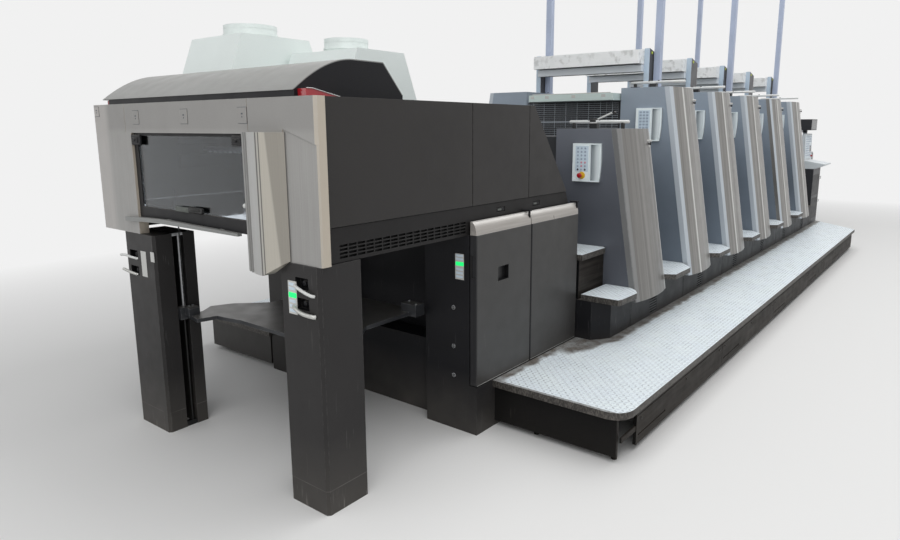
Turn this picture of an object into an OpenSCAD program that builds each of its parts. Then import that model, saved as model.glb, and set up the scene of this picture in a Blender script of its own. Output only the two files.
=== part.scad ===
/* [Whole machine] */
// Length of the machine along the sheet travel
machine_len = 11950; // [11900:10:12400]
// Distance from the machine's centre plane to the outer edge of each gallery
gallery_y = 1780; // [1700:10:2000]

/* [Delivery legs and head] */
// Depth of a leg along the sheet travel
leg_depth = 250; // [240:5:300]
// Outer face of the operator leg, from the centre plane
leg_out_op = 872; // [860:1:880]
// Width of the operator leg
leg_w_op = 277; // [250:1:290]
// Outer face of the drive leg, from the centre plane
leg_out_drive = 882; // [860:1:900]
// Width of the drive leg
leg_w_drive = 332; // [300:1:345]
// Depth of the closed front part of a leg, ahead of its chain channel
leg_front = 112; // [100:1:116]
// Height of the underside of the head
head_bottom = 1195; // [1150:5:1200]
// Height of the top of the head and of the side panels
head_top = 1930; // [1850:5:2000]
// Operator end of the head, from the centre plane
head_out_op = 895; // [885:1:920]
// Drive end of the head, from the centre plane
head_out_drive = 1125; // [1110:5:1200]
// Depth of the head's silver front casing
head_depth = 55; // [45:5:80]
// Thickness of sheet covers
skin = 30; // [20:1:40]

/* [Window] */
// Drive side edge of the window, from the centre plane
win_drive = 690; // [650:5:720]
// Operator side edge of the window, from the centre plane
win_op = 412; // [400:1:430]
// Underside of the window guard
win_bottom = 1290; // [1280:5:1310]
// Top edge of the window
win_top = 1770; // [1700:5:1800]
// Height of the dark sill of the window guard
sill_h = 66; // [50:1:90]
// Thickness of the glass
glass_t = 10; // [6:1:16]

/* [Grip column] */
// Underside of the grip column on the head
grip_bottom = 1130; // [1120:5:1180]
// Width of the grip column
grip_w = 270; // [250:5:300]
// How far the grip column stands proud of the head
grip_proud = 68; // [60:1:80]

/* [Hood] */
// Height of the hood above the head
hood_rise = 180; // [150:5:240]
// Length of the hood along the sheet travel, at its foot
hood_len = 690; // [650:5:760]
// Distance from the centre plane to the operator end of the hood
hood_out_op = 750; // [710:5:780]
// Distance from the centre plane to the drive end of the hood
hood_out_drive = 1000; // [950:5:1040]
// Thickness of the black cheek on each end of the hood
cheek_t = 30; // [20:1:60]
// Width of the hood's rim around each cheek
hood_rim = 5; // [3:0.5:8]
// Height of the black strip under the hood
hood_strip = 28; // [20:1:40]

/* [Delivery sides] */
// Drive side panels' outer face, from the centre plane
side_y_drive = 1000; // [980:5:1020]
// Rear end of the upper side panels, at their top
side_end_top = 1765; // [1750:5:1790]
// Rear end of the upper side panels, at their foot
side_end_low = 2200; // [2150:5:2240]
// Underside of the upper side panels and top of the vent band
band_top = 1358; // [1340:1:1380]
// Joint line between neighbouring panels
seam = 6; // [6:1:10]
// First joint line of the upper side panels
panel_seam_one = 1120; // [1000:5:1200]
// Second joint line of the upper side panels
panel_seam_two = 1709; // [1600:1:1740]
// Front of the delivery column and of the cabinet
column_x = 1085; // [1085:1:1092]
// Front of the drive side cabinet
cabinet_drive_x = 1045; // [1040:1:1085]
// Depth of the delivery column along the sheet travel
column_depth = 215; // [150:5:250]
// Rear end of the cabinet
cabinet_end = 2290; // [2260:1:2295]
// Outer face of the cabinet doors, from the centre plane
door_y = 927; // [920:1:935]
// Thickness of a cabinet door
door_t = 46; // [40:1:48]
// Line where the two cabinet doors meet
door_seam_x = 1668; // [1600:1:1720]
// Underside of the cabinet doors
door_bottom = 306; // [306:1:312]
// Top of the flat part of the cabinet doors
door_top = 1198; // [1180:1:1210]
// Height of the curved grip rail along the top of the doors
rail_h = 78; // [60:1:78]
// Diameter of the door pivots
pivot_d = 14; // [10:1:16]
// Outer face of the drive side cabinet, from the centre plane
cabinet_drive_y = 963; // [940:1:980]

/* [Louvres] */
// Rows of slots in the vent band
louvre_rows = 4; // [2:1:4]
// Slots in each row of the vent band
louvre_cols = 17; // [8:1:20]
// Height of one slot
louvre_h = 11; // [6:1:12]

/* [Pile lift] */
// Height of the top of the lift plate as it stands
lift_z = 700; // [680:5:705]
// Thickness of the lift plate
lift_t = 22; // [18:1:34]
// Diameter of the guide rods of the lift
rod_d = 14; // [12:1:16]

/* [Units] */
// Number of units, the low coating unit first
unit_count = 6; // [6:1:6]
// Distance from one unit to the next
unit_pitch = 1140; // [1120:5:1145]
// Front of the first housing
unit_x = 2690; // [2685:1:2695]
// Width of a housing along the sheet travel
unit_w = 587; // [560:1:620]
// Top of the machine bases
base_top = 580; // [560:5:580]
// Outer face of the machine bases, from the centre plane
base_y = 1135; // [1100:5:1150]
// Top of the printing unit housings
tall_top = 2140; // [2050:5:2250]
// Top of the coating unit housing
short_top = 1785; // [1700:5:1850]
// Underside of the silver covers
cover_bottom = 515; // [460:5:530]
// Outer face of the silver covers at their foot, from the centre plane
cover_y = 1210; // [1200:1:1225]
// Thickness of the silver covers at their front edge
cover_t = 45; // [30:1:50]
// Radius of the rear corner of the silver covers
cover_round = 30; // [20:1:35]
// Lean of the silver covers, in degrees from upright
lean = 9.3; // [8:0.1:10]
// Inner face of the housings, from the centre plane
housing_in = 500; // [480:5:510]

/* [Galleries] */
// Top of the galleries
deck_top = 297; // [290:1:299]
// Thickness of the tread plate on the galleries and steps
deck_t = 42; // [30:1:50]
// Front end of the operator gallery
deck_x = 1247; // [1240:1:1400]
// Front end of the drive side gallery
deck_x_drive = 1020; // [1000:5:1200]
// Rear end of the gallery's outer edge
deck_far_out = 9340; // [9000:10:9500]
// Rear end of the gallery's inner edge
deck_far_in = 10040; // [9700:10:10100]
// Radius of the gallery's rounded corner
deck_round = 120; // [50:5:150]
// Height of the tread of the first step
step_one = 622; // [622:1:660]
// Height of the tread of the second step
step_two = 907; // [880:1:940]
// Outer edge of the steps, from the centre plane
step_y = 1270; // [1240:5:1300]

/* [Top gear] */
// Height of the side plates above the housings
plate_rise = 380; // [340:5:420]
// Thickness of a side plate
plate_t = 52; // [40:1:56]
// Top of the masts
mast_top = 3760; // [3400:10:3800]
// Width of the square masts
mast_w = 60; // [40:1:62]

/* [Feeder] */
// Length of the feed table
table_len = 680; // [600:10:700]
// Distance from the centre plane to the outer face of the feeder's side frames
feeder_y = 710; // [680:5:750]
// Top of the feeder's side frames
feeder_top = 1320; // [1250:5:1400]
// Height of the suction head's beam above the side frames
feeder_head_rise = 380; // [340:5:450]

/* [Hidden] */

// Small gap between pieces that only touch
fit_gap = 0.3;
// The leg fronts stand this far from the middle of the machine
front_x = grip_proud - machine_len / 2;
// Top of the bodies that carry the delivery's upper part
body_top = head_bottom + 2;
round_fn = 64;
tan_lean = tan(lean);

// Puts a piece that is drawn from the leg fronts into the machine's own frame
module stand() {
    translate([front_x, 0, 0]) children();
}

// A block between two corners
module block(x0, x1, y0, y1, z0, z1) {
    translate([x0, y0, z0]) cube([x1 - x0, y1 - y0, z1 - z0]);
}

// An outline in x and z, pulled from y0 to y1
module side_profile(points, y0, y1) {
    translate([0, y1, 0]) rotate([90, 0, 0]) linear_extrude(y1 - y0) polygon(points);
}

// An outline in y and z, pulled from x0 to x1
module front_profile(points, x0, x1) {
    translate([x0, 0, 0]) rotate([90, 0, 90]) linear_extrude(x1 - x0) polygon(points);
}

// An outline in x and y, pulled from z0 to z1
module plan_profile(points, z0, z1) {
    translate([0, 0, z0]) linear_extrude(z1 - z0) polygon(points);
}

// A round bar that stands on end at [x, y]
module pillar(x, y, z0, z1, d) {
    translate([x, y, z0]) cylinder(h = z1 - z0, d = d, $fn = round_fn);
}

// Points of an arc about [cx, cy]
function arc(cx, cy, r, a0, a1, steps) =
    [for (i = [0:steps]) let (a = a0 + (a1 - a0) * i / steps) [cx + r * cos(a), cy + r * sin(a)]];

// Delivery legs: a closed front part and, behind it, a channel for the lift with a rear flange

leg_chamfer = 14;
leg_wall = 88;
// Front of the rear flange
leg_flange = leg_front + 68;
inner_op = leg_out_op - leg_w_op;
inner_drive = leg_out_drive - leg_w_drive;

// Outline of a leg whose inner face is at y = 0 and whose outer face is at y = w
function leg_outline(w) = [[leg_chamfer, 0], [leg_front, 0], [leg_front, w - leg_wall],
    [leg_flange, w - leg_wall], [leg_flange, 0], [leg_depth, 0], [leg_depth, w],
    [leg_chamfer, w], [0, w - leg_chamfer], [0, leg_chamfer]];

pocket_half = 46;
pocket_h = 55;
pocket_pitch = 95;

// Pockets for the two levers in the front of a leg
module lever_pockets(y, z0) {
    for (z = [z0, z0 + pocket_pitch]) block(-5, 32, y - pocket_half, y + pocket_half, z, z + pocket_h);
}

lever_inset_op = 119;
lever_z_op = 985;
lever_inset_drive = 240;
lever_z_drive = 940;

module leg_operator() {
    color("#46474b") stand() difference() {
        mirror([0, 1, 0]) translate([0, inner_op, 0])
            plan_profile(leg_outline(leg_w_op), 0, head_bottom - fit_gap);
        lever_pockets(-leg_out_op + lever_inset_op, lever_z_op);
    }
}

module leg_drive() {
    color("#46474b") stand() difference() {
        translate([0, inner_drive, 0]) plan_profile(leg_outline(leg_w_drive), 0, head_bottom - fit_gap);
        lever_pockets(inner_drive + lever_inset_drive, lever_z_drive);
    }
}

// Silver front casing of the delivery head: a portal round the window, pressed in below the crease

head_chamfer = 12;
crease_depth = 5;
groove_w = 4;
// Joint lines of the middle part, outside the window's edges
groove_drive = win_drive + 56;
groove_op = -win_op - 6;
crease_in = -win_op - 258;
crease_out = -win_op - 450;
crease_z = win_top + 22;

module head_front() {
    color("#bdbcb8") stand() difference() {
        plan_profile([[0, -head_out_op + head_chamfer], [head_chamfer, -head_out_op],
            [head_depth, -head_out_op], [head_depth, head_out_drive],
            [head_chamfer, head_out_drive], [0, head_out_drive - head_chamfer]],
            head_bottom, head_top);
        block(-5, head_depth + 5, -win_op, win_drive, head_bottom - 5, win_top);
        for (y = [groove_drive, groove_op])
            block(-5, groove_w, y - groove_w / 2, y + groove_w / 2, win_top, head_top + 5);
        front_profile([[crease_in, head_bottom - 5], [crease_in, crease_z], [crease_out, crease_z - 58],
            [-head_out_op - 5, crease_z - 69], [-head_out_op - 5, head_bottom - 5]], -5, crease_depth);
    }
}

// Window guard: dark frame with a deep sill, its glass and the silver bar below it

frame_w = 16;
frame_drive = 40;
guard_x = 14;
guard_depth = 26;

module window_guard() {
    y0 = -win_op + fit_gap;
    y1 = win_drive - fit_gap;
    color("#3b3d40") stand() difference() {
        block(guard_x, guard_x + guard_depth, y0, y1, win_bottom, win_top - fit_gap);
        block(guard_x - 5, guard_x + guard_depth + 5, y0 + frame_w, y1 - frame_drive,
            win_bottom + sill_h, win_top - frame_w);
    }
}

module window_glass() {
    color("#9fb4c4") stand() block(guard_x + 8, guard_x + 8 + glass_t,
        -win_op + frame_w + 2 * fit_gap, win_drive - frame_drive - 2 * fit_gap,
        win_bottom + sill_h + fit_gap, win_top - frame_w - fit_gap);
}

bar_depth = 24;
bar_end_drive = win_drive + 112;
bar_end_op = -win_op + 95;

// Underside and height of the bar at part t of its length, from the operator end to the drive end
function bar_z(t) = win_bottom - 8 - 16 * pow(max(0, (t - 0.6) / 0.4), 1.5);
function bar_h(t) = 14 + 10 * min(1, t / 0.6);

module window_bar() {
    span = bar_end_drive - bar_end_op;
    color("#a9abab") stand() {
        front_profile(concat(
            [for (i = [0:12]) let (t = i / 12) [bar_end_op + span * t, bar_z(t)]],
            [for (i = [12:-1:0]) let (t = i / 12) [bar_end_op + span * t, bar_z(t) + bar_h(t)]]),
            -bar_depth, -fit_gap);
        for (t = [0.15, 0.6]) block(-1, guard_x - fit_gap, bar_end_op + span * t,
            bar_end_op + span * t + 30, win_bottom + 1, bar_z(t) + bar_h(t) - 1);
    }
}

// Grip column: a fluted, bulging handle that falls back to the head along a flat rear flank

grip_crest = 148;

function grip_outline() = concat(
    [[0, 0], [-34, 0], [-38, 8], [-42, 24], [-34, 28], [-34, 36], [-48, 40], [-52, 50],
    [-44, 54], [-44, 60]],
    [for (i = [0:10]) let (t = i / 10)
        [-52 - (grip_proud - 52) * sin(90 * t), 64 + (grip_crest - 64) * t]],
    [[-grip_proud * 0.62, grip_crest + (grip_w - grip_crest) * 0.45],
    [-grip_proud * 0.28, grip_w - 22], [-6, grip_w - 6], [0, grip_w]]);

module grip_column() {
    cut_z = head_bottom + 10;
    color("#c9c9c6") stand() translate([-fit_gap, -win_op, 0]) difference() {
        mirror([0, 1, 0]) plan_profile(grip_outline(), grip_bottom, win_top + 8);
        front_profile([[-grip_crest, grip_bottom - 1], [-grip_w - 5, cut_z], [-grip_w - 5, grip_bottom - 1]],
            -100, 10);
    }
}

// Hood: a curved silver shell that ends in black cheeks, on a black strip

hood_foot = head_top + hood_strip;
hood_top = head_top + hood_rise;
hood_crown = 353;
hood_back = 555;
// The curve rises at about forty degrees and flattens towards the crown
hood_power = 1.85;

// Side outline of the hood, drawn in by a rim's width and cut off at a height
function hood_outline(rim, foot) = concat(
    [for (i = [0:20]) let (t = i / 20)
        [4 + (hood_crown - 4) * t,
            max(foot, hood_foot - rim + (hood_top - hood_foot) * (1 - pow(1 - t, hood_power)))]],
    [[hood_back - rim / 2, hood_top - rim], [hood_len - rim, foot]]);

module hood_shell() {
    pocket = hood_outline(hood_rim - fit_gap, hood_foot - 1);
    color("#cfd0ce") stand() difference() {
        side_profile(hood_outline(0, hood_foot), -hood_out_op, hood_out_drive);
        side_profile(pocket, -hood_out_op - 1, -hood_out_op + cheek_t + fit_gap);
        side_profile(pocket, hood_out_drive - cheek_t - fit_gap, hood_out_drive + 1);
    }
}

// The black strip is cut away at the drive end for the lamp that stands there
module hood_cheeks() {
    cheek = hood_outline(hood_rim, hood_foot - 2);
    foot = head_top + fit_gap;
    top = hood_foot - fit_gap;
    color("#26272b") stand() {
        side_profile(cheek, -hood_out_op, -hood_out_op + cheek_t);
        side_profile(cheek, hood_out_drive - cheek_t, hood_out_drive);
        block(10, hood_len, -hood_out_op, hood_out_drive - lamp_w - 2 * lamp_gap, foot, top);
        block(lamp_end + lamp_gap, hood_len, -hood_out_op, hood_out_drive, foot, top);
    }
}

// Red signal lamps: one beside the operator cheek, one under the hood's drive end

lamp_x = 30;
lamp_body = 34;
lamp_end = 219;
lamp_w = 55;
lamp_h = 33;
lamp_gap = 4;

module signal_lamp(y0, y1, h) {
    foot = head_top + fit_gap;
    side_profile([[lamp_x, foot], [lamp_x, head_top + h], [lamp_x + lamp_body, head_top + h],
        [lamp_end, foot + 4], [lamp_end, foot]], y0, y1);
}

module signal_lamps() {
    y1 = hood_out_drive - lamp_gap;
    color("#b3202a") stand() {
        signal_lamp(-hood_out_op - fit_gap - lamp_w, -hood_out_op - fit_gap, lamp_h);
        signal_lamp(y1 - lamp_w, y1, hood_strip - lamp_gap);
    }
}

// Upper side panels: three covers, the last cut back along the sloping rear end

side_y_op = leg_out_op;

function rear_x(z) = side_end_top + (side_end_low - side_end_top) * (head_top - z) / (head_top - band_top);

module upper_panels(y0, y1) {
    half = seam / 2;
    foot = band_top + half;
    block(head_depth + fit_gap, panel_seam_one - half, y0, y1, foot, head_top);
    block(panel_seam_one + half, panel_seam_two - half, y0, y1, foot, head_top);
    side_profile([[panel_seam_two + half, foot], [rear_x(foot), foot],
        [rear_x(head_top), head_top], [panel_seam_two + half, head_top]], y0, y1);
}

module side_panels_operator() {
    color("#4a4947") stand() upper_panels(-side_y_op, -side_y_op + skin);
}

module side_panels_drive() {
    color("#4a4947") stand() upper_panels(side_y_drive - skin, side_y_drive);
}

// Vent band: a darker strip with rows of louvre slots over the pile bay

band_inset = 6;
louvre_x0 = 128;
louvre_x1 = 1066;
louvre_z0 = head_bottom + 19;
louvre_pitch_z = 17.5;
louvre_depth = 14;
latch_slot_w = 88;
latch_slot_h = 28;
latch_slot_z = band_top - 58;

module louvres(y0, y1) {
    pitch = (louvre_x1 - louvre_x0) / louvre_cols;
    for (row = [0:louvre_rows - 1], col = [0:louvre_cols - 1])
        block(louvre_x0 + col * pitch + 3, louvre_x0 + (col + 1) * pitch - 3, y0, y1,
            louvre_z0 + row * louvre_pitch_z, louvre_z0 + row * louvre_pitch_z + louvre_h);
}

module band(y0, y1) {
    side_profile([[head_depth + fit_gap, body_top], [side_end_low + 30, body_top],
        [side_end_low + 42, head_bottom + 70], [rear_x(band_top) - 4, band_top - fit_gap],
        [head_depth + fit_gap, band_top - fit_gap]], y0, y1);
}

module vent_band_operator() {
    face = -side_y_op + band_inset;
    color("#37373a") stand() difference() {
        band(face, face + skin - band_inset);
        louvres(face - 5, face + louvre_depth);
        for (x = [panel_seam_one + 244, panel_seam_two + 57])
            block(x, x + latch_slot_w, face - 5, face + 8, latch_slot_z, latch_slot_z + latch_slot_h);
    }
}

module vent_band_drive() {
    face = side_y_drive - band_inset;
    color("#37373a") stand() difference() {
        band(face - skin + band_inset, face);
        louvres(face - louvre_depth, face + 5);
    }
}

// Inner body of the delivery behind the pile bay, with the roof over the bay

core_x = column_x + 15;
roof_t = 30;

module delivery_core() {
    y0 = -side_y_op + skin + fit_gap;
    y1 = side_y_drive - skin - fit_gap;
    inset = 8;
    color("#3d3e41") stand() side_profile([[head_depth + fit_gap, head_top - fit_gap],
        [side_end_top - inset, head_top - fit_gap], [rear_x(band_top) - inset, band_top],
        [side_end_low + 20, body_top], [core_x, body_top],
        [core_x, head_top - roof_t], [head_depth + fit_gap, head_top - roof_t]], y0, y1);
}

// Extraction hoods: pale trapezoids with round collars, one against the hood's back, one behind it

stack_foot = head_top + fit_gap;
stack_one_top = head_top + 420;
stack_two_top = head_top + 320;
collar_h = 70;

module extraction_hoods() {
    crest = hood_top + fit_gap;
    back = hood_back + fit_gap;
    color("#d9dedb") stand() {
        side_profile([[hood_len + fit_gap, stack_foot], [hood_len + fit_gap, hood_foot + fit_gap],
            [back, crest], [back - 67, crest], [back + 25, stack_one_top], [back + 525, stack_one_top],
            [back + 685, stack_foot]], 430, 970);
        side_profile([[hood_len + 100, stack_foot], [hood_len + 220, stack_two_top],
            [hood_len + 610, stack_two_top], [hood_len + 740, stack_foot]], -200, 400);
        pillar(back + 275, 700, stack_one_top - 1, stack_one_top + collar_h, 330);
        pillar(hood_len + 410, 100, stack_two_top - 1, stack_two_top + collar_h, 270);
    }
}

// Delivery column with its indicator strip recess and its plinth

door_gap = 8;
carcass_y = door_y - door_t - door_gap;
core_y_op = 540;
plinth_top = door_bottom - seam;
strip_y = -carcass_y + 72;

module column_operator() {
    x1 = column_x + column_depth - fit_gap;
    color("#2f3135") stand() difference() {
        union() {
            block(column_x, x1, -carcass_y, -core_y_op - fit_gap, 0, body_top - fit_gap);
            block(column_x, x1, -door_y, -carcass_y + 1, 0, plinth_top);
        }
        block(column_x - 5, column_x + 10, strip_y - 34, strip_y + 34, 930, 1086);
    }
}

// Operator cabinet: carcass, foot and the pivot brackets of its two doors

pivot_inset = 12;
pivot_len = 34;
bracket_half = 12;
bracket_t = 8;

pivot_y = -door_y + pivot_inset;
near_pivot_x = door_seam_x - seam / 2 - pivot_inset;
far_pivot_x = cabinet_end - seam - pivot_inset;
bracket_z = door_top + rail_h + seam;

module door_pivots(x) {
    pillar(x, pivot_y, plinth_top - 1, door_bottom + pivot_len, pivot_d);
    pillar(x, pivot_y, bracket_z - seam - pivot_len, bracket_z + 1, pivot_d);
}

module cabinet_operator() {
    x0 = column_x + column_depth;
    color("#3c3d40") stand() {
        block(x0, cabinet_end, -carcass_y, -core_y_op - fit_gap, 0, body_top - fit_gap);
        block(x0, cabinet_end, -door_y, -carcass_y + 1, 0, plinth_top);
        for (x = [near_pivot_x, far_pivot_x]) {
            door_pivots(x);
            block(x - bracket_half, x + bracket_half, -door_y + 2, -side_y_op + band_inset - fit_gap,
                bracket_z, bracket_z + bracket_t);
        }
    }
}

// Plan outline of a door, its pivot edge rounded about the pivot
function door_plan(x0, x1) = concat([[x0, -door_y + door_t], [x0, -door_y + 5], [x0 + 5, -door_y]],
    arc(x1 - pivot_inset, pivot_y, pivot_inset, -90, 0, 8), [[x1, -door_y + door_t]]);

// Quarter round rail profile in y and z
rail_points = concat([[-door_y + door_t, door_top], [-door_y + 2, door_top]],
    [for (i = [0:10]) let (a = 9 * i) [-door_y + 4 + (door_t - 8) * (1 - cos(a)),
        door_top + 4 + (rail_h - 4) * sin(a)]],
    [[-door_y + door_t, door_top + rail_h]]);

module door(x0, x1, pivot_x) {
    bore = pivot_d + 2 * fit_gap;
    difference() {
        union() {
            plan_profile(door_plan(x0, x1), door_bottom, door_top);
            intersection() {
                front_profile(rail_points, x0, x1);
                plan_profile(door_plan(x0, x1), door_top - 1, door_top + rail_h + 1);
            }
        }
        pillar(pivot_x, pivot_y, door_bottom - 1, door_bottom + pivot_len + 1, bore);
        pillar(pivot_x, pivot_y, door_top + rail_h - pivot_len - 1, door_top + rail_h + 4, bore);
    }
}

// Hand recess in the near door's face and the finger slot in its front edge
handle_x = column_x + 212;
handle_w = 110;
handle_z = 900;
handle_h = 87;
finger_slot_z = 951;
finger_slot_h = 131;

module cabinet_door_near() {
    color("#555452") stand() difference() {
        door(column_x, near_pivot_x + pivot_inset, near_pivot_x);
        block(handle_x, handle_x + handle_w, -door_y - 5, -door_y + 28, handle_z, handle_z + handle_h);
        block(column_x - 5, column_x + 8, -door_y + 9, -door_y + door_t - 3,
            finger_slot_z, finger_slot_z + finger_slot_h);
    }
}

module cabinet_door_far() {
    color("#555452") stand() door(door_seam_x + seam / 2, far_pivot_x + pivot_inset, far_pivot_x);
}

// Closed cabinet on the drive side

module cabinet_drive() {
    color("#3c3d40") stand()
        block(cabinet_drive_x, cabinet_end, core_y_op + fit_gap, cabinet_drive_y, 0, body_top - fit_gap);
}

// Closed body between the cabinets, with a ledge behind the pile bay

ledge_x = column_x + 95;
ledge_z = 490;
ledge_depth = 170;

module delivery_base() {
    color("#303236") stand() side_profile([[ledge_x, 0], [ledge_x, ledge_z], [ledge_x + ledge_depth, ledge_z],
        [ledge_x + ledge_depth, body_top - fit_gap], [cabinet_end, body_top - fit_gap], [cabinet_end, 0]],
        -core_y_op, core_y_op);
}

// Pile lift: a guide rod in each leg channel and the plate whose tongues run on them

rod_x = leg_front + 46;
rod_inset = 18;
rod_foot = 30;
rod_head = 16;
rod_y_op = -inner_op - rod_inset;
rod_y_drive = inner_drive + rod_inset;
// Clearance of the sliding parts in and beside the channel
slide_gap = 6;
shoe_rise = 50;
lift_front = 286;
lift_rear = column_x - slide_gap;
lift_edge_op = -480;
lift_edge_drive = 380;
guide_x0 = 1000;
guide_w = 120;

module lift_rods() {
    x0 = leg_front + fit_gap;
    x1 = leg_flange - fit_gap;
    top = head_bottom - fit_gap;
    color("#a8adb0") stand() for (y = [rod_y_op, rod_y_drive]) {
        pillar(rod_x, y, rod_foot - 1, top - rod_head + 1, rod_d);
        block(x0, x1, y - rod_d, y + rod_d, 0, rod_foot);
        block(x0, x1, y - rod_d, y + rod_d, top - rod_head, top);
    }
}

// Half outline of the plate's arm: x, and how far inside the leg's inner face
arm = [[254, 173], [145, 143], [168, 12], [244, 10], [264, 8], [355, -55], [478, 0]];

// One arm with its shoe and the tongue that enters the channel; side is -1 or 1
module lift_arm(side, inner, edge) {
    plan_profile(concat([for (p = arm) [p[0], side * (inner - p[1])]],
        [[640, edge], [640, edge - side * 200], [lift_front, edge - side * 200]]), lift_z - lift_t, lift_z);
    front_profile([[side * (inner - 60), lift_z - 1], [side * (inner - 8), lift_z - 1],
        [side * (inner - 8), lift_z + shoe_rise], [side * (inner - 52), lift_z + shoe_rise],
        [side * (inner - 60), lift_z + shoe_rise - 8]], rod_x - 12, rod_x + 56);
    y_in = side * (inner - 20);
    y_out = side * (inner + rod_inset + 18);
    block(leg_front + slide_gap, leg_flange - slide_gap, min(y_in, y_out), max(y_in, y_out),
        lift_z - lift_t, lift_z + shoe_rise);
}

module lift_plate() {
    bore = rod_d + 2 * fit_gap;
    color("#3a3c3f") stand() difference() {
        union() {
            block(lift_front, lift_rear, lift_edge_op, lift_edge_drive, lift_z - lift_t, lift_z);
            lift_arm(-1, inner_op, lift_edge_op);
            lift_arm(1, inner_drive, lift_edge_drive);
            for (side = [-1, 1]) {
                y0 = side < 0 ? lift_edge_op - 56 : lift_edge_drive - guide_w + 56;
                block(guide_x0, lift_rear - 4, y0, y0 + guide_w, lift_z - lift_t, lift_z + shoe_rise);
            }
        }
        for (y = [rod_y_op, rod_y_drive])
            pillar(rod_x, y, lift_z - lift_t - 1, lift_z + shoe_rise + 1, bore);
    }
}

// Machine bases: one under each unit and one under the steps ahead of the first

base_x = unit_x + 90;
base_front = cabinet_end + fit_gap;
base_joint = 4;
// Bevel of the first base's outer corners
base_bevel_x = 130;
base_bevel_y = 90;
vent_x = 367;
vent_z = 300;

module unit_bases() {
    color("#3f4246") stand() {
        plan_profile([[base_front, -base_y + base_bevel_y], [base_front + base_bevel_x, -base_y],
            [base_x - base_joint, -base_y], [base_x - base_joint, base_y],
            [base_front + base_bevel_x, base_y], [base_front, base_y - base_bevel_y]], 0, base_top);
        for (i = [0:unit_count - 1]) {
            x = base_x + i * unit_pitch;
            difference() {
                block(x, x + unit_pitch - base_joint, -base_y, base_y, 0, base_top);
                block(x + vent_x, x + vent_x + 146, -base_y - 5, -base_y + 8, vent_z, vent_z + 150);
            }
        }
    }
}

// Closed printing works between the housings

function unit_top(i) = i == 0 ? short_top : tall_top;

// Front of the works behind the front edge of each housing
works_inset = 56;
works_drop = 60;
bridge_z = base_top + 800;

module unit_cores() {
    y = housing_in - fit_gap;
    color("#34373c") stand() {
        block(cabinet_end + seam, unit_x + works_inset + 1, -y, y, base_top, short_top - 285);
        for (i = [0:unit_count - 1]) {
            x = unit_x + i * unit_pitch + works_inset;
            x_gap = unit_x + i * unit_pitch + unit_w;
            last = i == unit_count - 1 ? base_x - unit_x - works_inset : 0;
            x_end = x + unit_pitch - base_joint + last;
            top = unit_top(i) - works_drop;
            side_profile([[x, base_top], [x_end, base_top], [x_end, bridge_z], [x_gap + 160, bridge_z + 140],
                [x_gap, bridge_z + 240], [x_gap, top - 60], [x_gap - 60, top], [x, top]], -y, y);
        }
    }
}

// Housings: dark flanks whose outer edge leans with the silver cover

cover_back = cover_y - cover_t / cos(lean);

// Distance of the cover's back from the centre plane at a height
function back_y(z) = cover_back - (z - cover_bottom) * tan_lean;

module housing_shape(i, side) {
    x = unit_x + i * unit_pitch;
    top = unit_top(i);
    front_profile([[side * housing_in, base_top], [side * (back_y(base_top) - fit_gap), base_top],
        [side * (back_y(top) - fit_gap), top], [side * housing_in, top]], x, x + unit_w);
}

module housing(i) {
    color("#565d6b") stand() housing_shape(i, -1);
}

module housing_1() { housing(0); }
module housing_2() { housing(1); }
module housing_3() { housing(2); }
module housing_4() { housing(3); }
module housing_5() { housing(4); }
module housing_6() { housing(5); }

// Silver covers: a drawn profile with a bead and a rounded rear corner, leaning inward

bead_x = 205;
bead_h = 10;
cover_bulge = 37;

// Distance of the crowned face from the cover's back
function cover_out(x) = cover_t + cover_bulge * (1 - pow(2 * x / unit_w - 1, 2));

// Points of the face from one place to another, both ends left out
function cover_face(x0, x1, steps) = [for (k = [1:steps - 1]) let (x = x0 + (x1 - x0) * k / steps)
    [x, -cover_out(x)]];

function cover_plan(bead) = let (corner = unit_w - cover_round) concat(
    [[0, 0], [0, -cover_t + 4], [4, -cover_t]], cover_face(4, bead_x - 14, 4),
    [for (p = bead ? [[-14, 0], [-5, bead_h], [5, bead_h], [14, 0]] : [[0, 0]])
        [bead_x + p[0], -cover_out(bead_x + p[0]) - p[1]]],
    cover_face(bead_x + 14, corner, 6),
    [for (i = [0:8]) let (a = 11.25 * i)
        [corner + cover_round * sin(a), -cover_out(corner) + cover_round * (1 - cos(a))]],
    [[unit_w, 0]]);

module cover_shape(i) {
    top = unit_top(i);
    over = 40;
    run = (top - cover_bottom) / cos(lean);
    x = unit_x + i * unit_pitch;
    intersection() {
        translate([x, -cover_back, cover_bottom]) rotate([-lean, 0, 0])
            translate([0, 0, -over]) linear_extrude(run + 2 * over) polygon(cover_plan(i > 0));
        block(x - 5, x + unit_w + 5, -cover_y - 200, 0, cover_bottom, top);
    }
}

module cover(i) {
    color("#b4b0aa") stand() cover_shape(i);
}

module cover_1() { cover(0); }
module cover_2() { cover(1); }
module cover_3() { cover(2); }
module cover_4() { cover(3); }
module cover_5() { cover(4); }
module cover_6() { cover(5); }

// The drive side repeats the flanks and covers

module drive_housings() {
    color("#565d6b") stand() for (i = [0:unit_count - 1]) housing_shape(i, 1);
}

module drive_covers() {
    color("#8d9096") stand() mirror([0, 1, 0]) for (i = [0:unit_count - 1]) cover_shape(i);
}

// Control panels: a keypad and a hollow grip on the front of each housing

panel_y0 = 891;
panel_y1 = 660;
panel_h = 285;
panel_t = 26;
// The grip: from its steep side to where it runs out in the panel's face, and the rim above and below it
scoop_y = 808;
scoop_w = 72;
scoop_depth = 20;
scoop_rim = 9;

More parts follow.
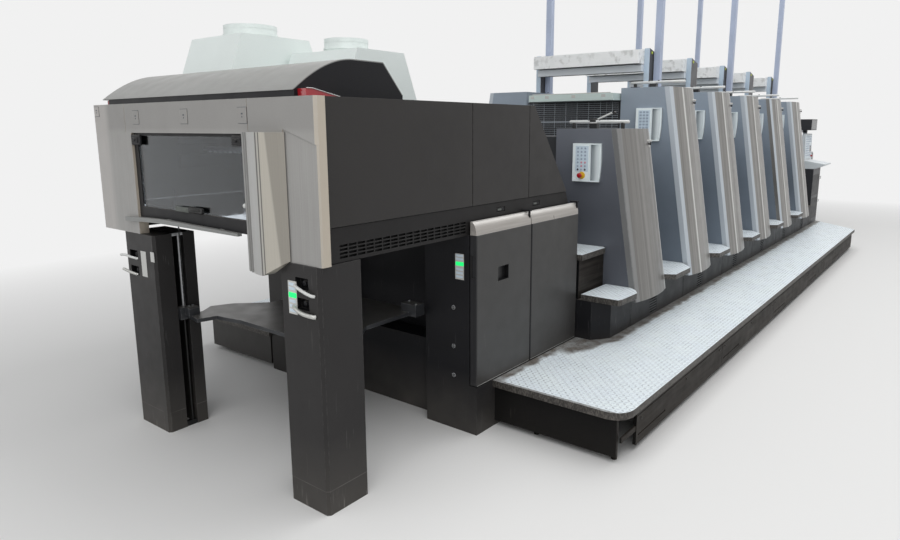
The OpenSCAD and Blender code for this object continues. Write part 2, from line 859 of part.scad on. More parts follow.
module control_panel(i) {
    x = unit_x + i * unit_pitch - fit_gap;
    z1 = unit_top(i) - (i == 0 ? 108 : 180);
    z0 = z1 - panel_h;
    face = x - panel_t;
    curve = [for (k = [0:8]) let (t = k / 8) [-panel_y0 - 24 * t + 34 * t * t, z1 - panel_h * t]];
    difference() {
        front_profile(concat(curve, [[-panel_y1, z0], [-panel_y1, z1]]), face, x);
        plan_profile([[face - 1, -scoop_y], [face + scoop_depth, -scoop_y],
            [face + scoop_depth, -scoop_y - 12], [face, -scoop_y - scoop_w],
            [face - 1, -scoop_y - scoop_w]], z0 + scoop_rim, z1 - scoop_rim);
    }
}

module control_panels() {
    color("#d3d8d8") stand() for (i = [0:unit_count - 1]) control_panel(i);
}

// Steps between the housings and beside the delivery

tread_gap = 3;
tread_in = housing_in + 10;
step_in = 520;
step_two_y = 960;

module tread(points, z) {
    plan_profile(points, z - deck_t, z);
}

function gap_tread(x0, x1) = [[x0, -tread_in], [x0, -step_y + 90], [x0 + 55, -step_y],
    [x1 - 155, -step_y], [x1, -step_y + 130], [x1, -tread_in]];

module step_treads() {
    x0 = cabinet_end + fit_gap;
    x1 = unit_x - tread_gap;
    color("#aeb3b6") stand() {
        for (i = [0:unit_count - 2]) {
            x = unit_x + i * unit_pitch;
            tread(gap_tread(x + unit_w + tread_gap, x + unit_pitch - tread_gap), step_one);
        }
        tread([[x0, -step_two_y], [x0, -step_y + 25], [x0 + 40, -step_y + 12], [x1 - 125, -step_y + 4],
            [x1 - 48, -step_y + 48], [x1, -step_y + 105], [x1, -step_two_y]], step_one);
        tread([[x0, -step_in], [x0, -step_two_y], [x1 - 30, -step_two_y], [x1, -step_two_y + 30],
            [x1, -step_in]], step_two);
    }
}

module step_boxes() {
    color("#3a3632") stand() block(cabinet_end + seam, unit_x - tread_gap,
        -step_two_y + 25, -step_in, base_top, step_two - deck_t);
}

// Operator gallery: tread plate, skirts and feet

deck_edge = base_y + fit_gap;
deck_in = door_y + fit_gap;
// Edge that a gallery shares with the bases and with the first base's bevel
deck_inner = [[deck_far_in, -deck_edge], [base_front + base_bevel_x, -deck_edge],
    [base_front - fit_gap, -deck_edge + base_bevel_y]];

module gallery_deck() {
    color("#b9bec2") stand() plan_profile(concat([[deck_x, -deck_in]],
        arc(deck_x + deck_round, -gallery_y + deck_round, deck_round, 180, 270, 10),
        [[deck_far_out, -gallery_y]], deck_inner, [[base_front - fit_gap, -deck_in]]),
        deck_top - deck_t, deck_top);
}

skirt_t = 20;
skirt_in = 28;
skirt_clear = 36;
skirt_len = 1570;
skirt_count = 5;
skirt_groove_z = 206;
foot_d = 34;
foot_gap = 790;
deck_foot = deck_top - deck_t - fit_gap;

module gallery_skirts() {
    outer = gallery_y - skirt_in;
    x0 = deck_x + 230;
    color("#26272a") stand() {
        block(deck_x + 22, deck_x + 22 + skirt_t, -outer + 25, -deck_in, skirt_clear, deck_foot);
        for (i = [0:skirt_count - 1]) {
            x = x0 + i * skirt_len;
            difference() {
                block(x, x + skirt_len - seam, -outer, -outer + skirt_t, skirt_clear, deck_foot);
                block(x + 25, x + 440, -outer - 5, -outer + 5, 84, 96);
                block(x - 5, x + skirt_len, -outer - 5, -outer + 3, skirt_groove_z, skirt_groove_z + 6);
            }
        }
        block(deck_x + 22 + skirt_t - 1, x0 + 1, -outer + 4, -outer + 16, 120, 150);
        for (i = [0:10]) {
            x = deck_x + 80 + i * foot_gap;
            for (y = [-outer + 60, -deck_edge - 60]) pillar(x, y, 0, deck_foot, foot_d);
        }
    }
}

// Drive side gallery: it runs past the delivery and repeats the operator one

module drive_gallery() {
    outer = gallery_y - skirt_in;
    in_y = cabinet_drive_y + fit_gap;
    top = deck_top - deck_t;
    color("#8f9498") stand() mirror([0, 1, 0]) {
        plan_profile(concat([[deck_x_drive, -in_y], [deck_x_drive, -gallery_y], [deck_far_out, -gallery_y]],
            deck_inner, [[base_front - fit_gap, -in_y]]), top, deck_top);
        block(deck_x_drive + 22, deck_x_drive + 22 + skirt_t, -outer + 1, -in_y - 15, skirt_clear, top + 1);
        block(deck_x_drive + 22, deck_far_out - 40, -outer, -outer + skirt_t, skirt_clear, top + 1);
        for (i = [0:10]) {
            x = deck_x_drive + 120 + i * foot_gap;
            for (y = [-outer + 60, -deck_edge - 60]) pillar(x, y, 0, top + 1, foot_d);
        }
    }
}

// Wire guards ahead of the printing units, each under a pale tray

mesh_half = housing_in - 20;
mesh_z0 = tall_top - 480;
mesh_z1 = tall_top - 110;
wire = 6;
mesh_gap = works_inset - wire - 2 * fit_gap;

module guard_mesh(x) {
    for (k = [0:8]) {
        y = -mesh_half + (2 * mesh_half - wire) * k / 8;
        block(x, x + wire, y, y + wire, mesh_z0, mesh_z1);
    }
    for (k = [0:3]) {
        z = mesh_z0 + (mesh_z1 - mesh_z0 - wire) * k / 3;
        block(x + 1, x + wire + 1, -mesh_half, mesh_half, z, z + wire);
    }
    for (y = [-mesh_half, mesh_half - 20])
        block(x, x + mesh_gap + wire, y, y + 20, mesh_z0 + 60, mesh_z0 + 90);
}

module guard_meshes() {
    color("#8c9196") stand() for (i = [1:unit_count - 1]) guard_mesh(unit_x + i * unit_pitch + fit_gap);
}

tray_op = mesh_half + 10;
tray_drive = mesh_half - 100;
tray_z0 = tall_top - 107;
tray_z1 = tall_top - 46;
tray_lip = 10;

module guard_trays() {
    color("#c7d3cc") stand() for (i = [1:unit_count - 1]) {
        x = unit_x + i * unit_pitch;
        difference() {
            block(x - 150, x + works_inset - fit_gap, -tray_op, tray_drive, tray_z0, tray_z1);
            block(x - 150 + tray_lip, x + works_inset - 2 * tray_lip, -tray_op + tray_lip,
                tray_drive - tray_lip, tray_z0 + tray_lip, tray_z1 + 5);
        }
    }
}

// Side plates on the housings, which carry a white plate box and a bar each

gear_x = 440;
gear_len = 190;
gear_op = housing_in + 18;
gear_drive = housing_in + 111;
plate_top = tall_top + plate_rise;

module gear_plate(i, y0) {
    x = unit_x + i * unit_pitch + gear_x;
    side_profile([[x, tall_top + fit_gap], [x + gear_len - 50, tall_top + fit_gap],
        [x + gear_len, tall_top + 60], [x + gear_len, plate_top - 45], [x, plate_top]], y0, y0 + plate_t);
}

module gear_plates() {
    color("#8d97a6") stand() for (i = [1:unit_count - 1], y0 = [-gear_op - plate_t, gear_drive])
        gear_plate(i, y0);
}

// Heights of the plate box and the bar, below the top of the side plates
box_low = plate_top - 143;
box_high = plate_top - 20;
bar_low = plate_top - 212;
bar_high = plate_top - 148;

module plate_boxes() {
    y0 = -gear_op + fit_gap;
    y1 = gear_drive - fit_gap;
    color("#dfe2df") stand() for (i = [1:unit_count - 1]) {
        x = unit_x + i * unit_pitch + gear_x;
        side_profile([[x - 140, box_low], [x + 20, box_low], [x + 20, box_high], [x - 20, box_high + 12],
            [x - 140, box_high]], y0, y1);
        side_profile([[x - 60, bar_low], [x + 30, bar_low], [x + 30, bar_high], [x - 60, bar_high]], y0, y1);
    }
}

// Masts at the first, third and fifth printing units

mast_gap = 10;
mast_step = 6;
mast_op = gear_op + plate_t + mast_gap;
mast_drive = gear_drive - mast_step - mast_w;

module masts() {
    color("#8d99ab") stand() for (i = [1, 3, 5], y = [-mast_op - mast_w, mast_drive]) {
        x = unit_x + i * unit_pitch + unit_w - mast_w - mast_step;
        block(x, x + mast_w, y, y + mast_w, tall_top + fit_gap, mast_top);
    }
}

// White rods in black clamps on the housings

rod_len = 270;
clamp_half = 22;
clamp_h = 50;

module top_rods() {
    color("#d8d8d6") stand() for (i = [0:unit_count - 1]) {
        x = unit_x + i * unit_pitch + 200;
        z = unit_top(i);
        translate([x, -step_in - 70, z + clamp_h + 2]) rotate([90, 0, 0])
            cylinder(h = rod_len, d = 22, $fn = round_fn);
        block(x - clamp_half, x + clamp_half, -step_in - 230, -step_in - 170, z + fit_gap, z + clamp_h);
    }
}

// Feeder: its places along the machine are parts of the length behind the last unit

units_end = base_x + unit_count * unit_pitch - base_joint + fit_gap;
feeder_end = machine_len - grip_proud;
feeder_w = 70;
feeder_body_h = 1180;

// Place at part t of the feeder's length
function feed_x(t) = units_end + (feeder_end - units_end) * t;

frame_front = feed_x(0.29);
frame_rear = feed_x(0.747);
table_x = units_end + 22;
table_end = table_x + table_len;
table_t = 25;

// Height of the sloping feed table's underside
function table_z(x) = feeder_body_h + 12 + (x - units_end) * 0.157;

module feeder_frame() {
    color("#3f4246") stand() {
        side_profile([[units_end, 0], [frame_front, 0], [frame_front, table_z(frame_front)],
            [units_end, table_z(units_end)]], -housing_in, housing_in);
        for (y0 = [-feeder_y, feeder_y - feeder_w])
            side_profile([[units_end, 0], [feeder_end, 0], [feeder_end, 900], [frame_rear, feeder_top],
                [frame_front, feeder_top], [units_end, feeder_body_h]], y0, y0 + feeder_w);
        block(frame_front - 1, feeder_end, -feeder_y + 10, feeder_y - 10, 0, 120);
        block(units_end, frame_front, -feeder_y + 10, feeder_y - 10, 0, 120);
        block(frame_rear - 50, frame_rear + 50, -feeder_y + 10, feeder_y - 10,
            feeder_top - 140, feeder_top - 40);
    }
}

module feeder_head() {
    y = feeder_y - 5;
    post_top = feeder_top + feeder_head_rise + 60;
    color("#565d6b") stand() {
        for (y0 = [-y, y - 60])
            block(frame_front + 50, frame_front + 170, y0, y0 + 60, feeder_top + fit_gap, post_top);
        block(frame_front + 30, feed_x(0.512), -y, y, feeder_top + feeder_head_rise, post_top + 60);
    }
}

module feeder_table() {
    half = feeder_y - feeder_w - 20;
    color("#c6c8c8") stand() side_profile([[table_x, table_z(table_x) + fit_gap],
        [table_end, table_z(table_end) + fit_gap], [table_end, table_z(table_end) + table_t],
        [table_x, table_z(table_x) + table_t]], -half, half);
}

// Console: a body, a wedge desk, a leaning keypad panel and a screen on an arm
console_x = units_end + 55;
console_len = 560;
console_y = 1100;
desk_z = 1145;
desk_tip = 140;
keypad_top = 1685;
screen_low = 1740;
screen_h = 170;

module feeder_console() {
    x1 = console_x + console_len;
    mid = console_x + console_len / 2;
    inner = -feeder_y - fit_gap;
    tip = -console_y - desk_tip;
    color("#2f3135") stand() {
        block(console_x, x1, -console_y, inner, 0, desk_z);
        front_profile([[inner, desk_z - 1], [-console_y, desk_z - 1], [tip, desk_z + 60], [tip, desk_z + 77],
            [-console_y + 150, desk_z + 127], [inner, desk_z + 127]], console_x, x1);
        front_profile([[-console_y + 150, desk_z + 126], [-console_y + 165, keypad_top],
            [-console_y + 205, keypad_top], [-console_y + 300, desk_z + 126]], console_x + 20, x1 - 20);
        block(mid - 30, mid + 30, -console_y + 195, -console_y + 250, keypad_top - 90, screen_low + 1);
        block(console_x + 60, x1 - 60, -console_y + 100, -console_y + 270, screen_low, screen_low + screen_h);
    }
}

leg_operator();
leg_drive();
head_front();
window_guard();
window_glass();
window_bar();
grip_column();
hood_shell();
hood_cheeks();
signal_lamps();
side_panels_operator();
side_panels_drive();
vent_band_operator();
vent_band_drive();
delivery_core();
extraction_hoods();
column_operator();
cabinet_operator();
cabinet_door_near();
cabinet_door_far();
cabinet_drive();
delivery_base();
lift_plate();
lift_rods();
unit_bases();
unit_cores();
housing_1();
housing_2();
housing_3();
housing_4();
housing_5();
housing_6();
cover_1();
cover_2();
cover_3();
cover_4();
cover_5();
cover_6();
drive_housings();
drive_covers();
control_panels();
step_treads();
step_boxes();
gallery_deck();
gallery_skirts();
drive_gallery();
guard_meshes();
guard_trays();
plate_boxes();
gear_plates();
masts();
top_rods();
feeder_frame();
feeder_head();
feeder_table();
feeder_console();
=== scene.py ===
import math

import bmesh
import bpy
from mathutils import Matrix, Vector


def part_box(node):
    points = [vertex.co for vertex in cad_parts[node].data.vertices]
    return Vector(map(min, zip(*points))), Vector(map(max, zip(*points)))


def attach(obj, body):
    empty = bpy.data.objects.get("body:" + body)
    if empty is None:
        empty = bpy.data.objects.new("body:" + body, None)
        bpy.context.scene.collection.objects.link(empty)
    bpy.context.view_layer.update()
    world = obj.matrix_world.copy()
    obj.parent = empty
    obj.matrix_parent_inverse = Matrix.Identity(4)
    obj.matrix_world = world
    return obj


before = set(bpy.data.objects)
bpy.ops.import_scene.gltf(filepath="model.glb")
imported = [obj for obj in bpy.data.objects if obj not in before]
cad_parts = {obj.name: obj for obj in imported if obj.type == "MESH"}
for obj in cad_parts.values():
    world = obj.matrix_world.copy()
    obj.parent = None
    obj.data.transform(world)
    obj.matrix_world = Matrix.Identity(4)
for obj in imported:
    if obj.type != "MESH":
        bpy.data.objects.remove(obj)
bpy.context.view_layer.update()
scene = bpy.context.scene

# Plan of the machine: x is counted from the delivery legs, y from the press's centre plane
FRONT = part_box("leg_operator")[0][0]
UNIT_X, PITCH, UNIT_W = 2.690, 1.140, 0.587
SHORT, TALL = 1.785, 2.140
COVER_FOOT, COVER_Y = 0.515, 1.210
LEAN = math.radians(9.3)
DECK_TOP, STEP_ONE, STEP_TWO = 0.297, 0.622, 0.907
# Front edge of the first base, pitch of the tread on the steps, key rows, how far a panel stands out
BASE_X, STEP_PITCH, KEY_ROW, PANEL_OUT = 2.780, 0.024, 0.0265, 0.0263


def unit(i):
    return UNIT_X + i * PITCH


def unit_top(i):
    return SHORT if i == 0 else TALL


# Camera at the photograph's viewing angle
def set_camera():
    data = bpy.data.cameras.new("view")
    cam = bpy.data.objects.new("view", data)
    scene.collection.objects.link(cam)
    cam.location = (FRONT - 1.836, -3.0965, 1.80)
    cam.rotation_euler = (math.radians(90 - 10.60), math.radians(0.08), math.radians(-52.53))
    data.sensor_width = 36
    data.lens = 26.36
    data.shift_x = -0.01873
    data.shift_y = -0.0220
    data.clip_end = 200
    scene.camera = cam


set_camera()
scene.view_settings.view_transform = "Standard"


# Materials
MAT = {}


class Kit:
    """Short names for the shader nodes of one material, read in the piece's own coordinates"""

    def __init__(self, name):
        self.m = bpy.data.materials.new(name)
        self.m.use_nodes = True
        self.n, self.l = self.m.node_tree.nodes, self.m.node_tree.links
        self.n.clear()
        self.out = self.n.new("ShaderNodeOutputMaterial")
        self.bsdf = self.n.new("ShaderNodeBsdfPrincipled")
        self.l.new(self.bsdf.outputs[0], self.out.inputs[0])
        tc = self.n.new("ShaderNodeTexCoord")
        self.pos = tc.outputs["Object"]
        px = self.split(self.pos)
        self.x, self.y, self.z = self.calc("SUBTRACT", px[0], FRONT), px[1], px[2]
        self.nx, self.ny, self.nz = self.split(tc.outputs["Normal"])
        self.side = self.calc("ABSOLUTE", self.y)

    def split(self, vec):
        s = self.n.new("ShaderNodeSeparateXYZ")
        self.l.new(vec, s.inputs[0])
        return s.outputs

    def calc(self, op, a, b=0.0, c=None):
        k = self.n.new("ShaderNodeMath")
        k.operation = op
        for i, v in enumerate((a, b) if c is None else (a, b, c)):
            if hasattr(v, "links"):
                self.l.new(v, k.inputs[i])
            else:
                k.inputs[i].default_value = v
        return k.outputs[0]

    def times(self, first, *rest):
        for v in rest:
            first = self.calc("MULTIPLY", first, v)
        return first

    def most(self, a, b):
        return self.calc("MAXIMUM", a, b)

    def minus(self, a, b):
        return self.calc("SUBTRACT", a, b)

    def ramp(self, v, a, b, lo=0.0, hi=1.0):
        """Straight run from lo at a to hi at b, level outside; a may be the larger"""
        r = self.n.new("ShaderNodeMapRange")
        for key, val in (("From Min", a), ("From Max", b), ("To Min", lo), ("To Max", hi)):
            r.inputs[key].default_value = val
        self.l.new(v, r.inputs["Value"])
        return r.outputs[0]

    def band(self, v, a, b, soft=0.002):
        return self.calc("MULTIPLY", self.ramp(v, a - soft, a + soft), self.ramp(v, b + soft, b - soft))

    def noise(self, scale, detail=4.0, stretch=None):
        vec = self.pos
        if stretch:
            mp = self.n.new("ShaderNodeMapping")
            mp.inputs["Scale"].default_value = stretch
            self.l.new(vec, mp.inputs["Vector"])
            vec = mp.outputs[0]
        t = self.n.new("ShaderNodeTexNoise")
        t.inputs["Scale"].default_value = scale
        t.inputs["Detail"].default_value = detail
        self.l.new(vec, t.inputs["Vector"])
        return t.outputs["Fac"]

    def mix(self, fac, a, b):
        k = self.n.new("ShaderNodeMix")
        k.data_type = "RGBA"
        self.l.new(fac, k.inputs[0])
        for i, v in ((6, a), (7, b)):
            if hasattr(v, "links"):
                self.l.new(v, k.inputs[i])
            else:
                k.inputs[i].default_value = (*v, 1)
        return k.outputs[2]

    def blend(self, fac, a, b):
        """Number a where fac is 0 and b where it is 1"""
        return self.calc("MULTIPLY_ADD", fac, self.calc("SUBTRACT", b, a), a)


def material(name, base, rough=0.45, metal=0.0, vary=0.10, cloud=2.5, grain=0.05, dust=0.0, foot=0.0,
             edge=0.0, edge_color=(0.5, 0.5, 0.5), scratch=0.0, bevel=0.0015, bump=0.03, bump_scale=350.0,
             streak=0.0, dust_color=(0.34, 0.31, 0.27), paint=None, coat=0.0, spec=0.5):
    """Paint or metal with cloudy colour, fine grain, scratches, dust on what faces up and worn edges"""
    k = Kit(name)
    b = k.bsdf
    b.inputs["Coat Weight"].default_value = coat
    b.inputs["Specular IOR Level"].default_value = spec
    dark = tuple(c * (1 - vary) for c in base)
    light = tuple(min(1, c * (1 + vary)) for c in base)
    color = k.mix(k.ramp(k.noise(cloud, 5.0), 0.3, 0.7), dark, light)
    if grain:
        color = k.mix(k.ramp(k.noise(170.0, 2.0), 0.35, 0.7, 0.0, 0.5), color,
                      tuple(min(1, c * (1 + 3 * grain) + 0.004) for c in base))
    if streak:
        s = k.ramp(k.noise(1.0, 6.0, (55, 55, 1.4)), 0.45, 0.75, 0.0, streak)
        color = k.mix(s, color, tuple(min(1, c * 1.3 + 0.02) for c in base))
    rough_v, metal_v = None, None
    if paint:
        color, rough_v, metal_v = paint(k, color)
    if scratch:
        s = k.times(k.ramp(k.noise(1.0, 3.0, (90, 90, 6)), 0.66, 0.72),
                   k.ramp(k.noise(1.2, 3.0), 0.45, 0.65, 0.0, scratch))
        color = k.mix(s, color, edge_color)
    if edge:
        bev = k.n.new("ShaderNodeBevel")
        bev.samples = 4
        bev.inputs["Radius"].default_value = 0.005
        geo = k.n.new("ShaderNodeNewGeometry")
        dot = k.n.new("ShaderNodeVectorMath")
        dot.operation = "DOT_PRODUCT"
        k.l.new(bev.outputs[0], dot.inputs[0])
        k.l.new(geo.outputs["Normal"], dot.inputs[1])
        e = k.ramp(dot.outputs["Value"], 0.995, 0.9)
        color = k.mix(k.times(e, k.ramp(k.noise(30.0, 3.0), 0.42, 0.62, 0.0, edge)), color, edge_color)
    if dust:
        d = k.times(k.ramp(k.nz, 0.5, 0.95), k.ramp(k.noise(8.0, 6.0), 0.35, 0.7, 0.2, dust))
        color = k.mix(d, color, dust_color)
    if foot:
        f = k.times(k.ramp(k.z, 0.38, 0.0), k.ramp(k.noise(5.0, 7.0), 0.35, 0.75, 0.1, foot))
        color = k.mix(f, color, dust_color)
    k.l.new(color, b.inputs["Base Color"])
    if hasattr(metal_v, "links"):
        k.l.new(metal_v, b.inputs["Metallic"])
    else:
        b.inputs["Metallic"].default_value = metal if metal_v is None else metal_v
    cloudy = k.ramp(k.noise(11.0, 5.0), 0.3, 0.7, -0.05, 0.06)
    k.l.new(k.calc("ADD", cloudy, rough if rough_v is None else rough_v), b.inputs["Roughness"])
    normal = None
    if bevel:
        bv = k.n.new("ShaderNodeBevel")
        bv.samples = 4
        bv.inputs["Radius"].default_value = bevel
        normal = bv.outputs[0]
    if bump:
        bp = k.n.new("ShaderNodeBump")
        bp.inputs["Strength"].default_value = bump
        bp.inputs["Distance"].default_value = 0.001
        k.l.new(k.noise(bump_scale, 2.0), bp.inputs["Height"])
        if normal:
            k.l.new(normal, bp.inputs["Normal"])
        normal = bp.outputs[0]
    if normal:
        k.l.new(normal, b.inputs["Normal"])
    MAT[name] = k.m


def glass_material(name, tint):
    k = Kit(name)
    k.bsdf.inputs["Base Color"].default_value = (*tint, 1)
    k.bsdf.inputs["IOR"].default_value = 1.45
    k.bsdf.inputs["Transmission Weight"].default_value = 1.0
    smear = k.ramp(k.noise(5.0, 6.0, (1, 3, 1)), 0.4, 0.75, 0.01, 0.12)
    k.l.new(smear, k.bsdf.inputs["Roughness"])
    MAT[name] = k.m


def glow_material(name, color, strength):
    k = Kit(name)
    cell = k.ramp(k.noise(220.0, 2.0), 0.35, 0.65, 0.75, 1.0)
    k.bsdf.inputs["Base Color"].default_value = (*color, 1)
    k.bsdf.inputs["Roughness"].default_value = 0.3
    k.bsdf.inputs["Emission Strength"].default_value = strength
    k.l.new(k.mix(cell, tuple(c * 0.6 for c in color), color), k.bsdf.inputs["Emission Color"])
    MAT[name] = k.m


# Colour plans of the pieces whose faces differ
def tread_border(k):
    """Where a gallery's top is painted darker brown: beside the doors, the bases and round its edge"""
    op = k.side
    low = k.ramp(k.z, 0.41, 0.40)
    wander = k.ramp(k.noise(9.0, 5.0), 0.3, 0.7, -0.02, 0.02)
    inner = k.calc("ADD", op, wander)
    doors = k.times(k.ramp(inner, 1.0, 0.965), k.ramp(k.x, 2.35, 2.3))
    slant = k.ramp(k.minus(inner, k.times(k.x, 0.28)), 0.56, 0.52)
    doors = k.most(doors, k.times(slant, k.band(k.x, 1.95, 2.45, 0.05)))
    bases = k.ramp(inner, 1.225, 1.190)
    front = k.times(k.ramp(k.x, 1.272, 1.262), 0.8)
    both = k.most(k.most(doors, front), k.times(bases, k.ramp(k.x, 2.3, 2.4)))
    return k.times(k.times(both, low), k.ramp(k.noise(14.0, 6.0), 0.3, 0.6, 0.7, 1.0))


def paint_tread(k, color):
    """Tread painted bright on top and dark on its edges below, as painted light and shade, with light wear, painted
    shade round each lozenge and a brown border
    """
    # Painted light and shade: the top is bright and the edges below are dark, by which way each face looks
    top = k.ramp(k.nz, 0.3, 0.7)
    wear = k.ramp(k.noise(3.0, 6.0), 0.35, 0.7)
    wear_and_lozenge_shade = k.mix(k.times(wear, 0.14), color, (0.55, 0.58, 0.62))
    pitch = k.ramp(k.z, 0.40, 0.41, 0.028, 0.024)
    cx, cy = (k.calc("ROUND", k.calc("DIVIDE", v, pitch)) for v in (k.x, k.y))
    odd = k.calc("ABSOLUTE", k.calc("MODULO", k.calc("ADD", cx, cy), 2.0))
    u = k.minus(k.x, k.times(cx, pitch))
    v = k.times(k.minus(k.y, k.times(cy, pitch)), k.ramp(odd, 0.4, 0.6, -1.0, 1.0))
    along, across = (k.calc("ABSOLUTE", k.calc(op, u, v)) for op in ("ADD", "SUBTRACT"))
    # Painted shade: a dark ring round each lozenge where its foot meets the plate
    rim = k.ramp(k.calc("MULTIPLY_ADD", along, 43.0, k.times(across, 100.0)), 1.1, 0.9)
    wear_and_lozenge_shade = k.mix(k.times(rim, 0.5), wear_and_lozenge_shade, (0.26, 0.28, 0.31))
    upper = k.mix(tread_border(k), wear_and_lozenge_shade, (0.15, 0.135, 0.12))
    tooth = k.ramp(k.noise(1.0, 2.0, (160, 160, 60)), 0.45, 0.6)
    # Painted shade: dark colour of the edges below the tread
    side = k.mix(tooth, (0.030, 0.027, 0.024), (0.10, 0.09, 0.08))
    return k.mix(top, side, upper), k.blend(top, 0.5, 0.36), k.blend(top, 0.1, 0.08)


def paint_head(k, color):
    """Cool silver front and brushed lower cheeks; faces turned to the operator's side painted lighter and warmer as
    painted light, and the front painted lighter towards the drive end
    """
    # Painted light: faces that look to the operator's side take a lighter, warmer colour
    facet = k.ramp(k.ny, -0.4, -0.8)
    brushed = k.times(k.ramp(k.noise(1.0, 5.0, (40, 120, 2)), 0.35, 0.7), k.ramp(k.z, 1.80, 1.70))
    color = k.mix(k.times(brushed, 0.35), color, (0.43, 0.43, 0.42))
    above = k.times(k.ramp(k.z, 1.77, 1.80), k.ramp(k.y, 0.97, 0.93))
    color = k.mix(k.times(above, 0.14), color, (0.02, 0.02, 0.02))
    # Painted light: the front grows lighter towards the drive end
    color = k.mix(k.ramp(k.y, 0.93, 0.99, 0.0, 0.25), color, (0.75, 0.70, 0.67))
    return k.mix(facet, color, (0.50, 0.445, 0.37)), 0.40, 0.15


def paint_tooth(k, color):
    """Bright lozenges, worn and with a painted highlight; flanks facing one diagonal in painted shade; brown along
    the gallery's border
    """
    brown_border = tread_border(k)
    # Painted shade: flanks facing one diagonal turn darker and bluer by which way they face
    diagonal_flank_shade = k.ramp(k.calc("ABSOLUTE", k.calc("ADD", k.nx, k.ny)), 0.0, 0.25)
    color = k.mix(diagonal_flank_shade, color, (0.62, 0.67, 0.72))
    return k.mix(brown_border, color, (0.24, 0.22, 0.20)), 0.28, 0.3


def paint_door(k, color):
    """Silver rail along the top with a painted highlight on its upward faces, a black leading edge and painted shade
    in the grip recess
    """
    rail = k.ramp(k.z, 1.1985, 1.2015)
    lip = k.times(k.ramp(k.nx, -0.55, -0.75), k.ramp(rail, 1.0, 0.0))
    body = k.mix(lip, color, (0.012, 0.012, 0.014))
    # Painted shade: the grip recess painted near black
    hollow = k.times(k.band(k.x, 1.294, 1.410), k.band(k.z, 0.897, 0.990))
    hollow = k.times(hollow, k.ramp(k.y, -0.9245, -0.922))
    body = k.mix(hollow, body, (0.006, 0.006, 0.007))
    shine = k.mix(k.ramp(k.noise(1.0, 4.0, (3, 90, 90)), 0.3, 0.7), (0.36, 0.335, 0.31), (0.44, 0.415, 0.39))
    # Painted highlight: the rail's upward faces are lighter
    shine = k.mix(k.ramp(k.nz, 0.35, 0.75), shine, (0.62, 0.60, 0.57))
    return k.mix(rail, body, shine), k.blend(rail, 0.42, 0.32), k.blend(rail, 0.0, 0.2)


def paint_cover(k, color):
    """Painted highlight as a pale strip at the front edge, drawn streaks and soft bands, a painted highlight on the
    bead with painted shade in the groove beside it, and a painted highlight along the rear edge
    """
    t = k.calc("MODULO", k.minus(k.x, UNIT_X - PITCH), PITCH)
    tall = k.ramp(k.x, 3.4, 3.5)
    # Painted highlight on the bead and painted shade in the groove beside it
    bead = k.times(k.band(t, 0.193, 0.205, 0.003), tall)
    groove = k.times(k.band(t, 0.210, 0.235, 0.008), tall)
    # Painted highlight: pale bluish strip at the front edge and a bright band at the rear edge
    strip = k.ramp(t, 0.050, 0.044)
    rear = k.band(t, 0.546, 0.572, 0.006)
    drawn = k.ramp(k.noise(1.0, 5.0, (26, 0.5, 0.35)), 0.36, 0.66)
    color = k.mix(drawn, (0.190, 0.182, 0.172), (0.31, 0.30, 0.285))
    fine = k.ramp(k.noise(1.0, 3.0, (150, 2, 1.2)), 0.4, 0.7, 0.0, 0.25)
    color = k.mix(fine, color, (0.42, 0.41, 0.39))
    color = k.mix(k.times(groove, 0.5), color, (0.11, 0.105, 0.10))
    color = k.mix(k.times(strip, k.calc("MULTIPLY_ADD", tall, 0.80, 0.15)), color, (0.56, 0.61, 0.66))
    color = k.mix(k.times(k.most(bead, rear), 0.85), color, (0.74, 0.74, 0.72))
    color = k.mix(k.ramp(tall, 0.0, 1.0, 0.24, 0.06), color, (0.02, 0.02, 0.02))
    return color, k.blend(strip, 0.34, 0.42), k.blend(strip, 0.35, 0.15)


def paint_leg(k, color):
    """Scuffed foot with a pale seam line round it, and painted shade, near black, in the channel and the lever pocket
    """
    line = k.times(k.band(k.z, 0.121, 0.124, 0.001), k.ramp(k.noise(6.0, 4.0), 0.4, 0.6))
    low = k.times(k.ramp(k.z, 0.125, 0.03), k.ramp(k.noise(1.0, 5.0, (40, 40, 5)), 0.62, 0.7))
    color = k.mix(k.times(k.most(line, low), 0.5), color, (0.22, 0.21, 0.20))
    # Painted shade: the channel and the lever pocket are painted near black
    channel = k.times(k.band(k.x, 0.114, 0.1795, 0.001), k.ramp(k.side, 0.80, 0.795))
    pocket = k.times(k.ramp(k.x, 0.002, 0.006), k.ramp(k.x, 0.105, 0.10))
    pocket = k.times(pocket, k.band(k.z, 0.93, 1.145), k.ramp(k.side, 0.85, 0.845))
    pocket = k.times(pocket, k.ramp(k.side, 0.70, 0.71))
    return k.mix(k.most(channel, pocket), color, (0.006, 0.006, 0.007)), 0.42, 0.0


def paint_rod(k, color):
    """Guide rods: bright above the shoes, dark below"""
    return k.mix(k.ramp(k.z, 0.70, 0.76), (0.02, 0.02, 0.02), color), 0.35, 0.6


def paint_rods(k, color):
    """White rods on black clamps"""
    short = k.times(k.ramp(k.x, 3.5, 3.4), k.band(k.z, SHORT - 0.1, SHORT + 0.0405, 0.0005))
    tall = k.times(k.ramp(k.x, 3.4, 3.5), k.band(k.z, TALL - 0.1, TALL + 0.0405, 0.0005))
    return k.mix(k.most(short, tall), color, (0.008, 0.008, 0.009)), 0.4, 0.0


def paint_slot(k, color):
    """Painted shade: near black on the faces that lie behind the outer faces of the vent band"""
    deep = k.ramp(k.side, 0.8645, 0.8635)
    deep = k.times(deep, k.ramp(k.y, 0.6, 0.5))
    drive = k.times(k.ramp(k.y, 0.9925, 0.9915), k.ramp(k.y, 0.5, 0.6))
    return k.mix(k.most(deep, drive), color, (0.004, 0.004, 0.004)), 0.5, 0.0


